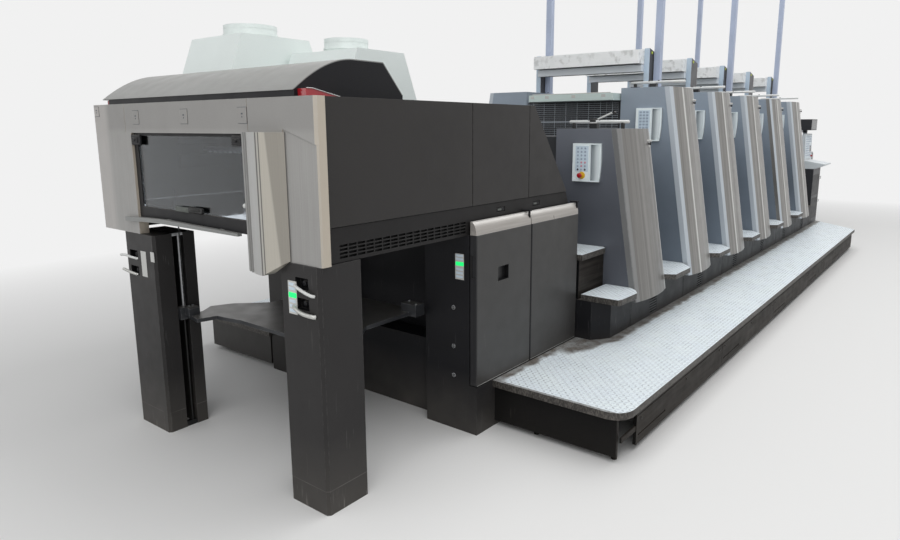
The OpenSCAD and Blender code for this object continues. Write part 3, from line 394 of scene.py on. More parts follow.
def paint_gear(k, color):
    """Side plates: pale blue edges to the front, flanks in painted shade"""
    # Painted shade: faces that look sideways are painted darker than the front edges
    flank = k.ramp(k.calc("ABSOLUTE", k.ny), 0.6, 0.9)
    return k.mix(flank, color, (0.085, 0.085, 0.09)), 0.42, 0.15


def paint_box(k, color):
    """Plate boxes in dusty white over grey bars, with painted shade on faces that look down"""
    bar = k.ramp(k.z, 2.376, 2.3745)
    # Painted shade: undersides painted dark grey
    under = k.ramp(k.nz, -0.5, -0.8)
    smut = k.times(k.ramp(k.noise(16.0, 6.0), 0.52, 0.66), k.ramp(k.noise(2.5, 3.0), 0.35, 0.6, 0.1, 0.55))
    color = k.mix(smut, color, (0.38, 0.38, 0.36))
    color = k.mix(bar, color, (0.74, 0.78, 0.82))
    return k.mix(under, color, (0.12, 0.12, 0.12)), 0.42, k.blend(bar, 0.0, 0.1)


def paint_console(k, color):
    """Feeder console: grey body, white desk and keypad panel, dark screen"""
    white = k.band(k.z, 1.1455, 1.70)
    return k.mix(white, color, (0.66, 0.70, 0.72)), 0.42, 0.0


def paint_drive_deck(k, color):
    """Drive side gallery: the operator's tread over a dark skirt"""
    col, r, m = paint_tread(k, color)
    skirt = k.ramp(k.z, 0.2545, 0.252)
    return k.mix(skirt, col, (0.030, 0.028, 0.026)), r, m


def paint_housing(k, color):
    """Housings, painted lighter towards the top as painted light and darker low down between the tall units as
    painted shade
    """
    # Painted shade: lower parts of the tall units darkened where the neighbouring units shade them
    low = k.times(k.ramp(k.z, 1.95, 1.2, 0.0, 0.45), k.ramp(k.x, 3.6, 3.7))
    color = k.mix(low, color, (0.020, 0.024, 0.032))
    # Painted light: housings lighter and bluer towards the top
    color = k.mix(k.times(k.ramp(k.z, 1.15, 1.75, 0.0, 0.06), k.ramp(k.x, 3.7, 3.6)), color, (0.62, 0.67, 0.78))
    return k.mix(k.ramp(k.z, 1.45, 2.10, 0.0, 0.13), color, (0.62, 0.67, 0.73)), 0.42, 0.05


def paint_skirt(k, color):
    """Near black end; sides painted lighter and browner than the end as painted light, with weathered streaks"""
    # Painted light: only faces that look sideways take the lighter weathered colour
    side = k.ramp(k.calc("ABSOLUTE", k.ny), 0.3, 0.8)
    worn = k.mix(k.ramp(k.noise(1.0, 6.0, (2, 2, 30)), 0.35, 0.7), (0.012, 0.0105, 0.009), (0.042, 0.037, 0.033))
    return k.mix(k.times(side, k.ramp(k.x, 1.25, 1.30)), color, worn), 0.52, 0.0


def paint_base(k, color):
    """Machine bases, painted darkest under the steps as painted shade"""
    # Painted shade: the part of the bases under the steps painted near black
    dark = k.ramp(k.x, 2.775, 2.779, 0.6, 0.0)
    inner = k.times(k.ramp(k.noise(1.4, 5.0), 0.4, 0.7), 0.4)
    color = k.mix(inner, color, (0.014, 0.015, 0.018))
    t = k.calc("MODULO", k.minus(k.x, BASE_X - PITCH), PITCH)
    seam = k.times(k.ramp(t, PITCH - 0.036, PITCH - 0.034), k.ramp(k.side, 1.10, 1.11))
    color = k.mix(seam, color, (0.001, 0.001, 0.001))
    return k.mix(k.times(dark, k.ramp(k.x, 2.2, 2.21)), color, (0.006, 0.006, 0.008)), 0.42, 0.0


def paint_lift(k, color):
    """Tread plate of the lift, polished where pallets slide"""
    rub = k.times(k.ramp(k.nz, 0.6, 0.9), k.ramp(k.noise(1.5, 5.0, (1, 5, 1)), 0.4, 0.7, 0.0, 0.5))
    return k.mix(rub, color, (0.10, 0.105, 0.11)), 0.36, 0.2


def paint_grip(k, color):
    """Polished flutes: a pale strip as a painted highlight, a dark double line as painted shade in the grooves, and a
    flank painted bright, then in painted shadow beyond a diagonal
    """
    v = k.minus(k.times(k.y, -1.0), 0.412)
    edge = k.calc("MULTIPLY_ADD", k.minus(1.78, k.z), 0.07, 0.192)
    # Painted light and shadow: the flank is bright up to a diagonal and darker beyond it
    lower_flank_shadow = k.ramp(k.minus(v, edge), -0.004, 0.004)
    flank = k.mix(lower_flank_shadow, (0.50, 0.47, 0.41), (0.30, 0.28, 0.245))
    # Painted highlight: pale strip on the rib
    strip = k.mix(k.ramp(v, 0.060, 0.064), (0.27, 0.27, 0.265), (0.45, 0.45, 0.44))
    # Painted shade: a dark double line in the grooves of the flutes
    line = k.most(k.band(v, 0.148, 0.154, 0.0015), k.band(v, 0.161, 0.166, 0.0015))
    body = k.mix(k.ramp(v, 0.142, 0.170), strip, flank)
    body = k.mix(k.times(k.ramp(k.noise(1.0, 5.0, (60, 160, 1)), 0.35, 0.7), 0.25), body, color)
    return k.mix(k.times(line, 0.8), body, (0.05, 0.05, 0.05)), 0.34, 0.15


def paint_panel(k, color):
    """Pale panel whose hollow grip lies in shade on its steep side"""
    shade = k.times(k.ramp(k.y, -0.874, -0.812), k.ramp(k.y, -0.8072, -0.8078))
    side = k.ramp(k.calc("ABSOLUTE", k.ny), 0.8, 0.95)
    tall = k.calc("MODULO", k.minus(k.x, UNIT_X - PITCH), PITCH)
    deep = k.ramp(tall, PITCH - 0.0255, PITCH - 0.010)
    hollow = k.times(k.most(shade, side), deep)
    return k.mix(k.times(hollow, 0.85), color, (0.16, 0.18, 0.20)), 0.42, 0.0


material("head", (0.32, 0.312, 0.30), 0.40, 0.20, 0.05, 2.0, 0.02, edge=0.25, dust=0.2,
         edge_color=(0.65, 0.65, 0.65), paint=paint_head)
material("grip", (0.36, 0.34, 0.30), 0.34, 0.15, 0.04, 2.0, 0.02, bevel=0.0, paint=paint_grip)
material("hood", (0.227, 0.232, 0.226), 0.34, 0.10, 0.04, 2.0, 0.02, dust=0.15)
material("cover", (0.30, 0.285, 0.265), 0.36, 0.45, 0.06, 2.5, 0.03, edge=0.3, dust=0.15,
         edge_color=(0.7, 0.7, 0.7), streak=0.18, paint=paint_cover)
material("panel_grey", (0.0285, 0.0265, 0.0255), 0.42, 0.0, 0.08, 2.0, 0.02, edge=0.25, dust=0.3,
         edge_color=(0.16, 0.155, 0.15), scratch=0.15, spec=0.25)
material("band", (0.015, 0.014, 0.014), 0.42, 0.0, 0.08, 3.0, 0.02, edge=0.25,
         edge_color=(0.12, 0.12, 0.12), spec=0.2, paint=paint_slot)
material("door", (0.0435, 0.042, 0.041), 0.40, 0.0, 0.08, 2.0, 0.02, foot=0.12,
         edge_color=(0.2, 0.19, 0.18), scratch=0.15, spec=0.35, paint=paint_door)
material("leg", (0.022, 0.0205, 0.0205), 0.42, 0.0, 0.10, 2.0, 0.03, edge=0.45, foot=0.15,
         edge_color=(0.17, 0.165, 0.16), scratch=0.35, spec=0.25, paint=paint_leg)
material("base", (0.023, 0.0225, 0.0235), 0.45, 0.0, 0.2, 2.0, 0.03, edge=0.35, dust=0.4, foot=0.3,
         edge_color=(0.2, 0.2, 0.2), scratch=0.3, spec=0.14, paint=paint_base)
material("column", (0.0125, 0.0125, 0.0145), 0.40, 0.0, 0.12, 3.0, 0.02, edge=0.25, foot=0.2,
         edge_color=(0.12, 0.12, 0.12), scratch=0.2, spec=0.12)
material("black", (0.010, 0.010, 0.012), 0.42, 0.0, 0.15, 4.0, 0.02, edge=0.25, dust=0.35, foot=0.2,
         edge_color=(0.09, 0.09, 0.09), spec=0.18)
material("skirt", (0.0040, 0.0042, 0.0046), 0.52, 0.0, 0.18, 3.0, 0.04, edge=0.35, dust=0.4, foot=0.08,
         edge_color=(0.10, 0.09, 0.08), scratch=0.35, dust_color=(0.11, 0.095, 0.08), spec=0.08,
         paint=paint_skirt)
material("slate", (0.090, 0.097, 0.115), 0.42, 0.05, 0.22, 1.3, 0.03, edge=0.3, dust=0.3,
         edge_color=(0.30, 0.31, 0.33), scratch=0.15, paint=paint_housing)
material("slate_far", (0.255, 0.308, 0.372), 0.40, 0.05, 0.22, 1.3, 0.03, edge=0.3, dust=0.3,
         edge_color=(0.36, 0.38, 0.42), scratch=0.15, paint=paint_housing)
material("core", (0.030, 0.032, 0.036), 0.5, 0.0, 0.15, 5.0, 0.04, dust=0.5,
         dust_color=(0.10, 0.10, 0.10))
# Tread and tooth colours are set very bright; part of that brightness is painted light from the lamps above the
# galleries
material("tread", (0.85, 0.93, 1.0), 0.36, 0.1, 0.05, 6.0, 0.03, paint=paint_tread)
material("drive_deck", (0.85, 0.93, 1.0), 0.36, 0.1, 0.05, 6.0, 0.03, paint=paint_drive_deck)
material("tooth", (0.95, 0.97, 0.98), 0.22, 0.3, 0.05, 9.0, 0.0, bump=0.0, bevel=0.0, paint=paint_tooth)
material("steel", (0.42, 0.43, 0.44), 0.30, 0.8, 0.10, 8.0, 0.03)
material("wire", (0.42, 0.46, 0.50), 0.35, 0.3, 0.08, 8.0, 0.03, bevel=0.0)
material("rod", (0.42, 0.43, 0.44), 0.30, 0.8, 0.10, 8.0, 0.03, paint=paint_rod)
material("lift", (0.034, 0.036, 0.040), 0.40, 0.1, 0.15, 4.0, 0.04, edge=0.6, dust=0.25,
         edge_color=(0.28, 0.29, 0.30), paint=paint_lift)
material("panel", (0.88, 0.96, 1.0), 0.42, 0.0, 0.03, 5.0, 0.01, dust=0.1, paint=paint_panel)
material("desk", (0.76, 0.83, 0.87), 0.42, 0.0, 0.03, 5.0, 0.01)
material("pad", (0.66, 0.77, 0.86), 0.45, 0.0, 0.03, 9.0, 0.01)
material("key", (0.36, 0.44, 0.54), 0.4, 0.0, 0.06, 20.0, 0.02, bevel=0.0008)
material("key_pink", (0.66, 0.28, 0.36), 0.4, 0.0, 0.06, 20.0, 0.02, bevel=0.0008)
material("key_dark", (0.05, 0.06, 0.08), 0.4, 0.0, 0.06, 20.0, 0.02, bevel=0.0008)
material("duct", (0.80, 0.86, 0.84), 0.42, 0.05, 0.05, 2.0, 0.02, dust=0.25, edge=0.2)
material("plates", (0.95, 0.97, 0.96), 0.42, 0.0, 0.08, 9.0, 0.10, paint=paint_box)
material("tray", (0.58, 0.68, 0.65), 0.4, 0.1, 0.05, 4.0, 0.02, dust=0.2)
material("gear", (0.50, 0.60, 0.70), 0.4, 0.1, 0.08, 5.0, 0.03, edge=0.3, paint=paint_gear)
material("mast", (0.42, 0.48, 0.62), 0.4, 0.1, 0.08, 5.0, 0.03, edge=0.3,
         edge_color=(0.7, 0.72, 0.75))
material("rods", (0.60, 0.60, 0.59), 0.35, 0.1, 0.06, 8.0, 0.02, paint=paint_rods)
material("lever", (0.66, 0.67, 0.66), 0.35, 0.1, 0.06, 12.0, 0.03)
material("lever_worn", (0.50, 0.50, 0.48), 0.35, 0.4, 0.10, 12.0, 0.05)
material("sign", (0.60, 0.60, 0.58), 0.5, 0.0, 0.04, 20.0, 0.03)
material("rubber", (0.012, 0.012, 0.012), 0.6, 0.0, 0.15, 20.0, 0.04, bump=0.08)
material("grille", (0.075, 0.075, 0.078), 0.45, 0.0, 0.1, 12.0, 0.03, bevel=0.0)
# Near black with no shine: used for the sheets that stand for painted shade behind the base vents
material("void", (0.001, 0.001, 0.001), 0.8, 0.0, 0.1, 12.0, 0.0, bump=0.0, bevel=0.0, spec=0.0)
material("belt", (0.10, 0.11, 0.10), 0.6, 0.0, 0.12, 12.0, 0.05, bump=0.08)
material("red", (0.40, 0.010, 0.018), 0.22, 0.0, 0.12, 14.0, 0.02, coat=0.5, bump=0.06, bump_scale=120.0)
material("yellow", (0.70, 0.42, 0.02), 0.35, 0.0, 0.06, 14.0, 0.02)
material("lime", (0.50, 0.60, 0.04), 0.35, 0.0, 0.06, 14.0, 0.02)
material("screen", (0.010, 0.012, 0.015), 0.16, 0.0, 0.12, 6.0, 0.01, bump=0.0)
material("console", (0.022, 0.023, 0.027), 0.42, 0.0, 0.1, 4.0, 0.02, edge=0.3, paint=paint_console)
glass_material("glass", (0.62, 0.68, 0.74))
glow_material("green", (0.0, 0.80, 0.16), 0.9)

MAT_NODES = {
    "head": "head_front", "grip": "grip_column", "hood": "hood_shell window_bar", "black": "hood_cheeks",
    "red": "signal_lamps", "glass": "window_glass", "base": "window_guard unit_bases feeder_frame",
    "leg": "leg_operator leg_drive", "panel_grey": "side_panels_operator side_panels_drive cabinet_drive",
    "band": "vent_band_operator vent_band_drive", "core": "delivery_core unit_cores guard_meshes",
    "duct": "extraction_hoods", "column": "column_operator cabinet_operator delivery_base",
    "door": "cabinet_door_near cabinet_door_far", "lift": "lift_plate", "rod": "lift_rods",
    "slate_far": "drive_housings", "cover": "drive_covers", "panel": "control_panels",
    "tread": "step_treads gallery_deck", "skirt": "step_boxes gallery_skirts", "drive_deck": "drive_gallery",
    "tray": "guard_trays", "plates": "plate_boxes", "gear": "gear_plates", "mast": "masts", "rods": "top_rods",
    "slate": "feeder_head", "steel": "feeder_table", "console": "feeder_console",
}
NODE_MAT = {node: mat for mat, nodes in MAT_NODES.items() for node in nodes.split()}


def node_mat(name):
    """The numbered housings and covers aren't in the table; the first housing is a little darker"""
    numbered = "slate" if name == "housing_1" else "slate_far" if "housing" in name else "cover"
    return NODE_MAT.get(name, numbered)


for name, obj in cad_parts.items():
    obj.data.materials.clear()
    obj.data.materials.append(MAT[node_mat(name)])


# Shapes
class Form:
    """Small solids in plan coordinates, joined into one piece"""

    def __init__(self):
        self.v, self.f = [], []

    def put(self, verts, faces):
        n = len(self.v)
        self.v += [tuple(p) for p in verts]
        self.f += [tuple(n + i for i in face) for face in faces]
        return self

    def box(self, lo, hi, c=0.002, turn=None):
        """Block with chamfered edges, turned about its middle"""
        mid = [(a + b) / 2 for a, b in zip(lo, hi)]
        h = [abs(b - a) / 2 for a, b in zip(lo, hi)]
        c = min(c, 0.4 * min(h))
        ix, verts, faces = {}, [], []
        signs = [(a, b, d) for a in (-1, 1) for b in (-1, 1) for d in (-1, 1)]
        for s in signs:
            for k in range(3):
                p = Vector([s[j] * (h[j] - (0 if j == k else c)) for j in range(3)])
                ix[s, k] = len(verts)
                verts.append((turn @ p if turn else p) + Vector(mid))

        def key(k, sk, a, sa, b, sb):
            t = [0, 0, 0]
            t[k], t[a], t[b] = sk, sa, sb
            return tuple(t)
        for k in range(3):
            a, b = (k + 1) % 3, (k + 2) % 3
            for s in (-1, 1):
                faces.append([ix[key(k, s, a, p, b, q), k] for p, q in ((-1, -1), (1, -1), (1, 1), (-1, 1))])
            for p in (-1, 1):
                for q in (-1, 1):
                    lo_, hi_ = key(k, -1, a, p, b, q), key(k, 1, a, p, b, q)
                    faces.append([ix[lo_, a], ix[lo_, b], ix[hi_, b], ix[hi_, a]])
        faces += [[ix[s, 0], ix[s, 1], ix[s, 2]] for s in signs]
        return self.put(verts, faces)

    def prism(self, pts, a, b, axis=1):
        """An outline in the two other axes, pulled from a to b"""
        def at(p, t):
            q = list(p)
            q.insert(axis, t)
            return q
        n = len(pts)
        verts = [at(p, a) for p in pts] + [at(p, b) for p in pts]
        faces = [list(range(n)), list(range(n, 2 * n))]
        faces += [[i, (i + 1) % n, n + (i + 1) % n, n + i] for i in range(n)]
        return self.put(verts, faces)

    def rows(self, verts, n, closed=False):
        """Rows of n points joined one to the next: back to the first, or with both ends filled"""
        count = len(verts) // n
        faces = [] if closed else [list(range(n)), list(range(len(verts) - n, len(verts)))]
        for r in range(count if closed else count - 1):
            near, far = r * n, (r + 1) % count * n
            faces += [[near + k, near + (k + 1) % n, far + (k + 1) % n, far + k] for k in range(n)]
        return self.put(verts, faces)

    def sweep(self, path, radii, n=12):
        """Round bar along a path, with a radius at each point"""
        pts = [Vector(p) for p in path]
        if not isinstance(radii, (list, tuple)):
            radii = [radii] * len(pts)
        verts, side = [], None
        for i, p in enumerate(pts):
            d = (pts[min(i + 1, len(pts) - 1)] - pts[max(i - 1, 0)]).normalized()
            if side is None:
                side = d.orthogonal().normalized()
            side = (side - d * side.dot(d)).normalized()
            up = d.cross(side)
            verts += [p + radii[i] * (side * math.cos(t) + up * math.sin(t))
                      for t in (2 * math.pi * k / n for k in range(n))]
        return self.rows(verts, n)

    def turned(self, p, d, profile, n=20):
        """Turned part: distances along d from p, and radii"""
        p, d = Vector(p), Vector(d).normalized()
        side = d.orthogonal().normalized()
        up = d.cross(side)
        verts = [p + d * t + r * (side * math.cos(a) + up * math.sin(a))
                 for t, r in profile for a in (2 * math.pi * k / n for k in range(n))]
        return self.rows(verts, n)

    def ring(self, c, r0, r1, z0, z1, n=40):
        """Upright ring about c"""
        verts = [(c[0] + r * math.cos(a), c[1] + r * math.sin(a), z)
                 for r, z in ((r0, z0), (r1, z0), (r1, z1), (r0, z1))
                 for a in (2 * math.pi * k / n for k in range(n))]
        return self.rows(verts, n, True)

    def screw(self, p, d, r=0.006):
        """Domed screw head with a socket"""
        return self.turned(p, d, ((-0.001, r), (0.4 * r, r), (0.75 * r, 0.8 * r), (0.8 * r, 0.45 * r),
                                  (0.35 * r, 0.42 * r)), 12)

    def tooth(self, x, y, z, turned):
        """Raised lozenge of a tread plate"""
        a = math.radians(45 if turned else -45)
        ca, sa = math.cos(a), math.sin(a)
        pts = [(-0.013, 0, 0), (0, -0.0042, 0), (0.013, 0, 0), (0, 0.0042, 0), (-0.0065, 0, 1), (0.0065, 0, 1)]
        verts = [(x + u * ca - v * sa, y + u * sa + v * ca, z + 0.0018 * w - 0.0003) for u, v, w in pts]
        return self.put(verts, [(0, 1, 5, 4), (2, 3, 4, 5), (1, 2, 5), (3, 0, 4)])

    def make(self, name, mat, body="press", shade=True):
        mesh = bpy.data.meshes.new(name)
        mesh.from_pydata([(p[0] + FRONT, p[1], p[2]) for p in self.v], [], self.f)
        if shade:
            b = bmesh.new()
            b.from_mesh(mesh)
            bmesh.ops.recalc_face_normals(b, faces=b.faces)
            b.to_mesh(mesh)
            b.free()
            mesh.polygons.foreach_set("use_smooth", [True] * len(mesh.polygons))
            mesh.set_sharp_from_angle(angle=math.radians(38))
        mesh.update()
        mesh.materials.append(MAT[mat])
        obj = bpy.data.objects.new(name, mesh)
        scene.collection.objects.link(obj)
        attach(obj, body)
        return obj


def inside(x, y, poly):
    hit = False
    for (xa, ya), (xb, yb) in zip(poly, poly[1:] + poly[:1]):
        if (ya > y) != (yb > y) and x < xa + (y - ya) * (xb - xa) / (yb - ya):
            hit = not hit
    return hit


def teeth(form, poly, z, pitch=0.028, margin=0.012):
    """Tread plate pattern over an outline"""
    xs, ys = [p[0] for p in poly], [p[1] for p in poly]
    i0, i1 = int(min(xs) / pitch) - 1, int(max(xs) / pitch) + 1
    j0, j1 = int(min(ys) / pitch) - 1, int(max(ys) / pitch) + 1
    for i in range(i0, i1 + 1):
        for j in range(j0, j1 + 1):
            x, y = i * pitch, j * pitch
            if all(inside(x + dx, y + dy, poly) for dx, dy in ((margin, margin), (-margin, margin),
                                                                (margin, -margin), (-margin, -margin))):
                form.tooth(x, y, z, (i + j) % 2)
    return form


# Tread plates
CORNER = [(1.367 + 0.12 * math.cos(a), -1.660 + 0.12 * math.sin(a))
          for a in (math.radians(180 + 9 * k) for k in range(11))]
DECK = [(1.247, -0.927)] + CORNER + [(9.34, -1.78), (10.04, -1.135), (2.42, -1.135), (2.29, -1.045),
                                     (2.29, -0.927)]
teeth(Form(), DECK, DECK_TOP).make("deck_pattern", "tooth", shade=False)
DRIVE_DECK = [(1.02, 0.963), (1.02, 1.78), (9.34, 1.78), (10.04, 1.135), (2.42, 1.135), (2.29, 1.045),
              (2.29, 0.963)]
teeth(Form(), DRIVE_DECK, DECK_TOP).make("drive_deck_pattern", "tooth", shade=False)


def step_patterns():
    f = Form()
    for i in range(5):
        x0, x1 = unit(i) + UNIT_W + 0.003, unit(i + 1) - 0.003
        teeth(f, [(x0, -0.51), (x0, -1.18), (x0 + 0.055, -1.27), (x1 - 0.155, -1.27), (x1, -1.14), (x1, -0.51)],
              STEP_ONE, STEP_PITCH)
    x0, x1 = 2.2903, 2.687
    teeth(f, [(x0, -0.96), (x0, -1.245), (x0 + 0.04, -1.258), (x1 - 0.125, -1.266), (x1 - 0.048, -1.222),
              (x1, -1.165), (x1, -0.96)], STEP_ONE, STEP_PITCH)
    teeth(f, [(x0, -0.52), (x0, -0.96), (x1 - 0.03, -0.96), (x1, -0.93), (x1, -0.52)], STEP_TWO, STEP_PITCH)
    f.make("step_pattern", "tooth", shade=False)


step_patterns()


# Delivery head
def head_details():
    back, face, mark = Form(), Form(), Form()
    for y0, y1, z0, z1 in ((0.584, 0.650, 1.816, 1.892), (0.087, 0.157, 1.816, 1.892),
                           (-0.417, -0.345, 1.816, 1.892), (1.050, 1.108, 1.862, 1.920)):
        back.box((-0.0012, y0, z0), (0.001, y1, z1), 0.0005)
        face.box((-0.0024, y0 + 0.002, z0 + 0.002), (0.0, y1 - 0.002, z1 - 0.002), 0.0006)
        yc, zc = (y0 + y1) / 2, (z0 + z1) / 2
        mark.box((-0.0032, yc - 0.006, zc + 0.004), (-0.002, yc + 0.006, zc + 0.011), 0.0004)
        mark.box((-0.0032, yc - 0.003, zc - 0.010), (-0.002, yc + 0.003, zc - 0.003), 0.0004)
    back.make("head_plate_rims", "key_dark")
    face.make("head_plates", "head")
    mark.make("head_plate_marks", "key_dark")
    f = Form()
    f.box((-0.004, 0.598, 1.703), (0.0135, 0.687, 1.760), 0.004)
    f.box((-0.004, -0.372, 1.711), (0.0135, -0.284, 1.761), 0.004)
    f.box((-0.008, 0.612, 1.716), (-0.003, 0.672, 1.746), 0.003)
    f.box((-0.008, -0.360, 1.722), (-0.003, -0.298, 1.750), 0.003)
    f.screw((-0.008, 0.642, 1.731), (-1, 0, 0), 0.008)
    f.screw((-0.008, -0.329, 1.736), (-1, 0, 0), 0.008)
    f.make("window_blocks", "base")
    Form().box((-0.001, 0.153, 1.358), (0.0145, 0.280, 1.385), 0.004).box(
        (-0.004, 0.160, 1.366), (0.0, 0.215, 1.379), 0.002).make("sill_catch", "belt")
    f = Form().box((-0.003, 0.021, 1.361), (0.0145, 0.148, 1.390), 0.005)
    f.sweep([(-0.002, 0.040, 1.378), (-0.010, 0.070, 1.380), (-0.011, 0.100, 1.379), (-0.002, 0.135, 1.374)],
            [0.005, 0.006, 0.006, 0.004])
    f.make("sill_latch", "rubber")
    Form().turned((0.0218, -0.370, 1.433), (-1, 0, 0), ((0, 0.010), (0.004, 0.010), (0.008, 0.006), (0.018, 0.006),
                  (0.021, 0.010), (0.030, 0.012), (0.036, 0.010), (0.038, 0.004))).make("window_knob", "lever")
    f = Form()
    for y in (-0.748, -0.807):
        f.sweep([(0.032, y, 1.9648), (0.064, y, 1.9648), (0.219, y, 1.9335)], 0.0018, 6)
    f.make("lamp_rim", "lever")


head_details()


def head_inside():
    """Chain rails, gripper bars, blower rows and a sheet guide behind the glass"""
    rails, bars, fans = Form(), Form(), Form()
    for y in (-0.50, 0.72):
        rails.box((0.30, y - 0.012, 1.56), (1.09, y + 0.012, 1.64), 0.003)
        rails.box((0.30, y - 0.012, 1.70), (1.09, y + 0.012, 1.74), 0.003)
    rails.box((0.26, -0.80, 1.84), (0.34, 0.93, 1.899), 0.006)
    rails.box((1.04, -0.80, 1.74), (1.099, 0.93, 1.86), 0.006)
    for x, z in ((0.46, 1.672), (0.88, 1.672)):
        bars.sweep([(x, -0.486, z), (x, 0.706, z)], 0.013, 14)
        bars.sweep([(x + 0.05, -0.486, z), (x + 0.05, 0.706, z)], 0.009, 12)
        for k in range(22):
            y = -0.44 + k * 0.052
            bars.box((x - 0.012, y - 0.010, z - 0.024), (x + 0.062, y + 0.010, z - 0.008), 0.003)
    for x in (0.62, 0.78):
        fans.box((x - 0.055, -0.484, 1.752), (x + 0.055, 0.704, 1.832), 0.006)
        for k in range(9):
            y = -0.41 + k * 0.13
            fans.ring((x, y), 0.040, 0.050, 1.742, 1.753, 24)
            fans.turned((x, y, 1.752), (0, 0, -1), ((0, 0.014), (0.006, 0.014), (0.009, 0.008)), 14)
            for q in range(5):
                a = 2 * math.pi * q / 5
                fans.box((x + 0.025 * math.cos(a) - 0.012, y + 0.025 * math.sin(a) - 0.007, 1.7445),
                         (x + 0.025 * math.cos(a) + 0.012, y + 0.025 * math.sin(a) + 0.007, 1.7475), 0.001)
    rails.make("chain_rails", "base")
    bars.make("gripper_bars", "steel")
    fans.make("blower_rows", "core")


head_inside()


# Legs, column and lift
def smooth_path(points, n=6):
    """Points along a soft curve through the given ones"""
    p = [Vector(q) for q in points]
    p = [2 * p[0] - p[1]] + p + [2 * p[-1] - p[-2]]
    out = []
    for i in range(1, len(p) - 2):
        for k in range(n):
            t = k / n
            out.append(0.5 * ((2 * p[i]) + (p[i + 1] - p[i - 1]) * t
                              + (2 * p[i - 1] - 5 * p[i] + 4 * p[i + 1] - p[i + 2]) * t * t
                              + (3 * p[i] - p[i - 1] - 3 * p[i + 1] + p[i + 2]) * t ** 3))
    out.append(p[-2])
    return out


def leg_details():
    for name, mat, radius, swell, points in (
            ("lever_high_operator", "lever", 0.0075, 0.0,
             ((0.004, -0.702, 1.097), (-0.012, -0.722, 1.094), (-0.018, -0.782, 1.078),
              (-0.010, -0.828, 1.064), (0.002, -0.838, 1.061))),
            ("lever_low_operator", "lever_worn", 0.0075, 0.0035,
             ((0.004, -0.689, 0.996), (-0.012, -0.706, 0.992), (-0.020, -0.767, 0.976),
              (-0.010, -0.826, 0.968), (0.002, -0.838, 0.966))),
            ("lever_high_drive", "lever", 0.0075, 0.0,
             ((0.010, 0.760, 1.038), (-0.016, 0.790, 1.050), (-0.030, 0.830, 1.060), (-0.038, 0.868, 1.058))),
            ("lever_low_drive", "lever_worn", 0.0085, 0.0,
             ((0.010, 0.779, 0.939), (-0.016, 0.805, 0.955), (-0.028, 0.836, 0.966), (-0.034, 0.862, 0.973)))):
        curve = smooth_path(points)
        radii = [radius + swell * k / (len(curve) - 1) for k in range(len(curve))]
        Form().sweep(curve, radii, 14).make(name, mat)
    f = Form()
    for y, z in ((0.790, 0.940), (0.790, 1.035), (-0.753, 0.985), (-0.753, 1.080)):
        f.turned((0.0325, y, z + 0.0275), (-1, 0, 0), ((0, 0.019), (0.006, 0.019), (0.010, 0.013), (0.018, 0.012),
                                                      (0.020, 0.008)))
    f.make("lever_hubs", "black")

    sign, cell = Form(), Form()
    sign.box((-0.003, -0.716, 0.956), (0.001, -0.656, 1.112), 0.001)
    sign.box((-0.0016, 0.647, 0.943), (0.001, 0.705, 1.094), 0.0006)
    sign.box((-0.0016, 0.553, 1.042), (0.001, 0.593, 1.100), 0.0006)
    sign.box((1.0865, -0.833, 0.932), (1.0955, -0.769, 1.084), 0.001)
    for k, z in enumerate((0.966, 0.988, 1.010, 1.070, 1.090)):
        cell.box((-0.0038, -0.708, z), (-0.0025, -0.664, z + 0.014), 0.0004)
        cell.box((1.0858, -0.826, z - 0.024), (1.0870, -0.776, z - 0.010), 0.0004)
    sign.make("bare_plates", "sign")
    cell.make("plate_cells", "pad")
    Form().box((-0.0052, -0.715, 1.035), (-0.002, -0.662, 1.058), 0.001).make("ready_light_leg", "green")
    Form().box((1.0848, -0.832, 1.014), (1.0875, -0.774, 1.036), 0.001).make("ready_light_column", "green")
    f = Form()
    for z in (0.758, 0.522, 0.340):
        f.turned((1.0855, -0.757, z), (-1, 0, 0), ((0, 0.013), (0.002, 0.013), (0.003, 0.010), (0.0005, 0.0095)))
        f.box((1.0835, -0.765, z - 0.0015), (1.0852, -0.749, z + 0.0015), 0.0004)
    f.make("column_locks", "steel")


leg_details()


def lift_details():
    """Hoist chains that rise from the shoes into the head, and bolts on the arms"""
    links, bolts = Form(), Form()
    for y in (-0.578, 0.533):
        for k in range(56):
            z = 0.744 + k * 0.0127
            inner, outer = (0.004, 0.0065) if k % 2 else (0.002, 0.0045)
            for lo, hi in ((-outer, -inner), (inner, outer)):
                links.box((0.1470, y + lo, z), (0.1500, y + hi, z + 0.0165), 0.0008)
            links.sweep([(0.1485, y - 0.006, z + 0.0015), (0.1485, y + 0.006, z + 0.0015)], 0.0016, 6)
    links.make("hoist_chains", "base", "lift")
    for y in (-0.578, 0.533):
        for x in (0.172, 0.196):
            bolts.turned((x, y, 0.749), (0, 0, 1), ((0, 0.007), (0.006, 0.007), (0.0075, 0.0055), (0.0078, 0.002)), 6)
    for x, y in ((1.02, -0.520), (1.06, -0.432), (1.02, 0.332), (1.06, 0.420)):
        bolts.turned((x, y, 0.749), (0, 0, 1), ((0, 0.008), (0.006, 0.008), (0.0075, 0.006), (0.0078, 0.002)), 6)
    bolts.make("lift_bolts", "steel", "lift")


lift_details()


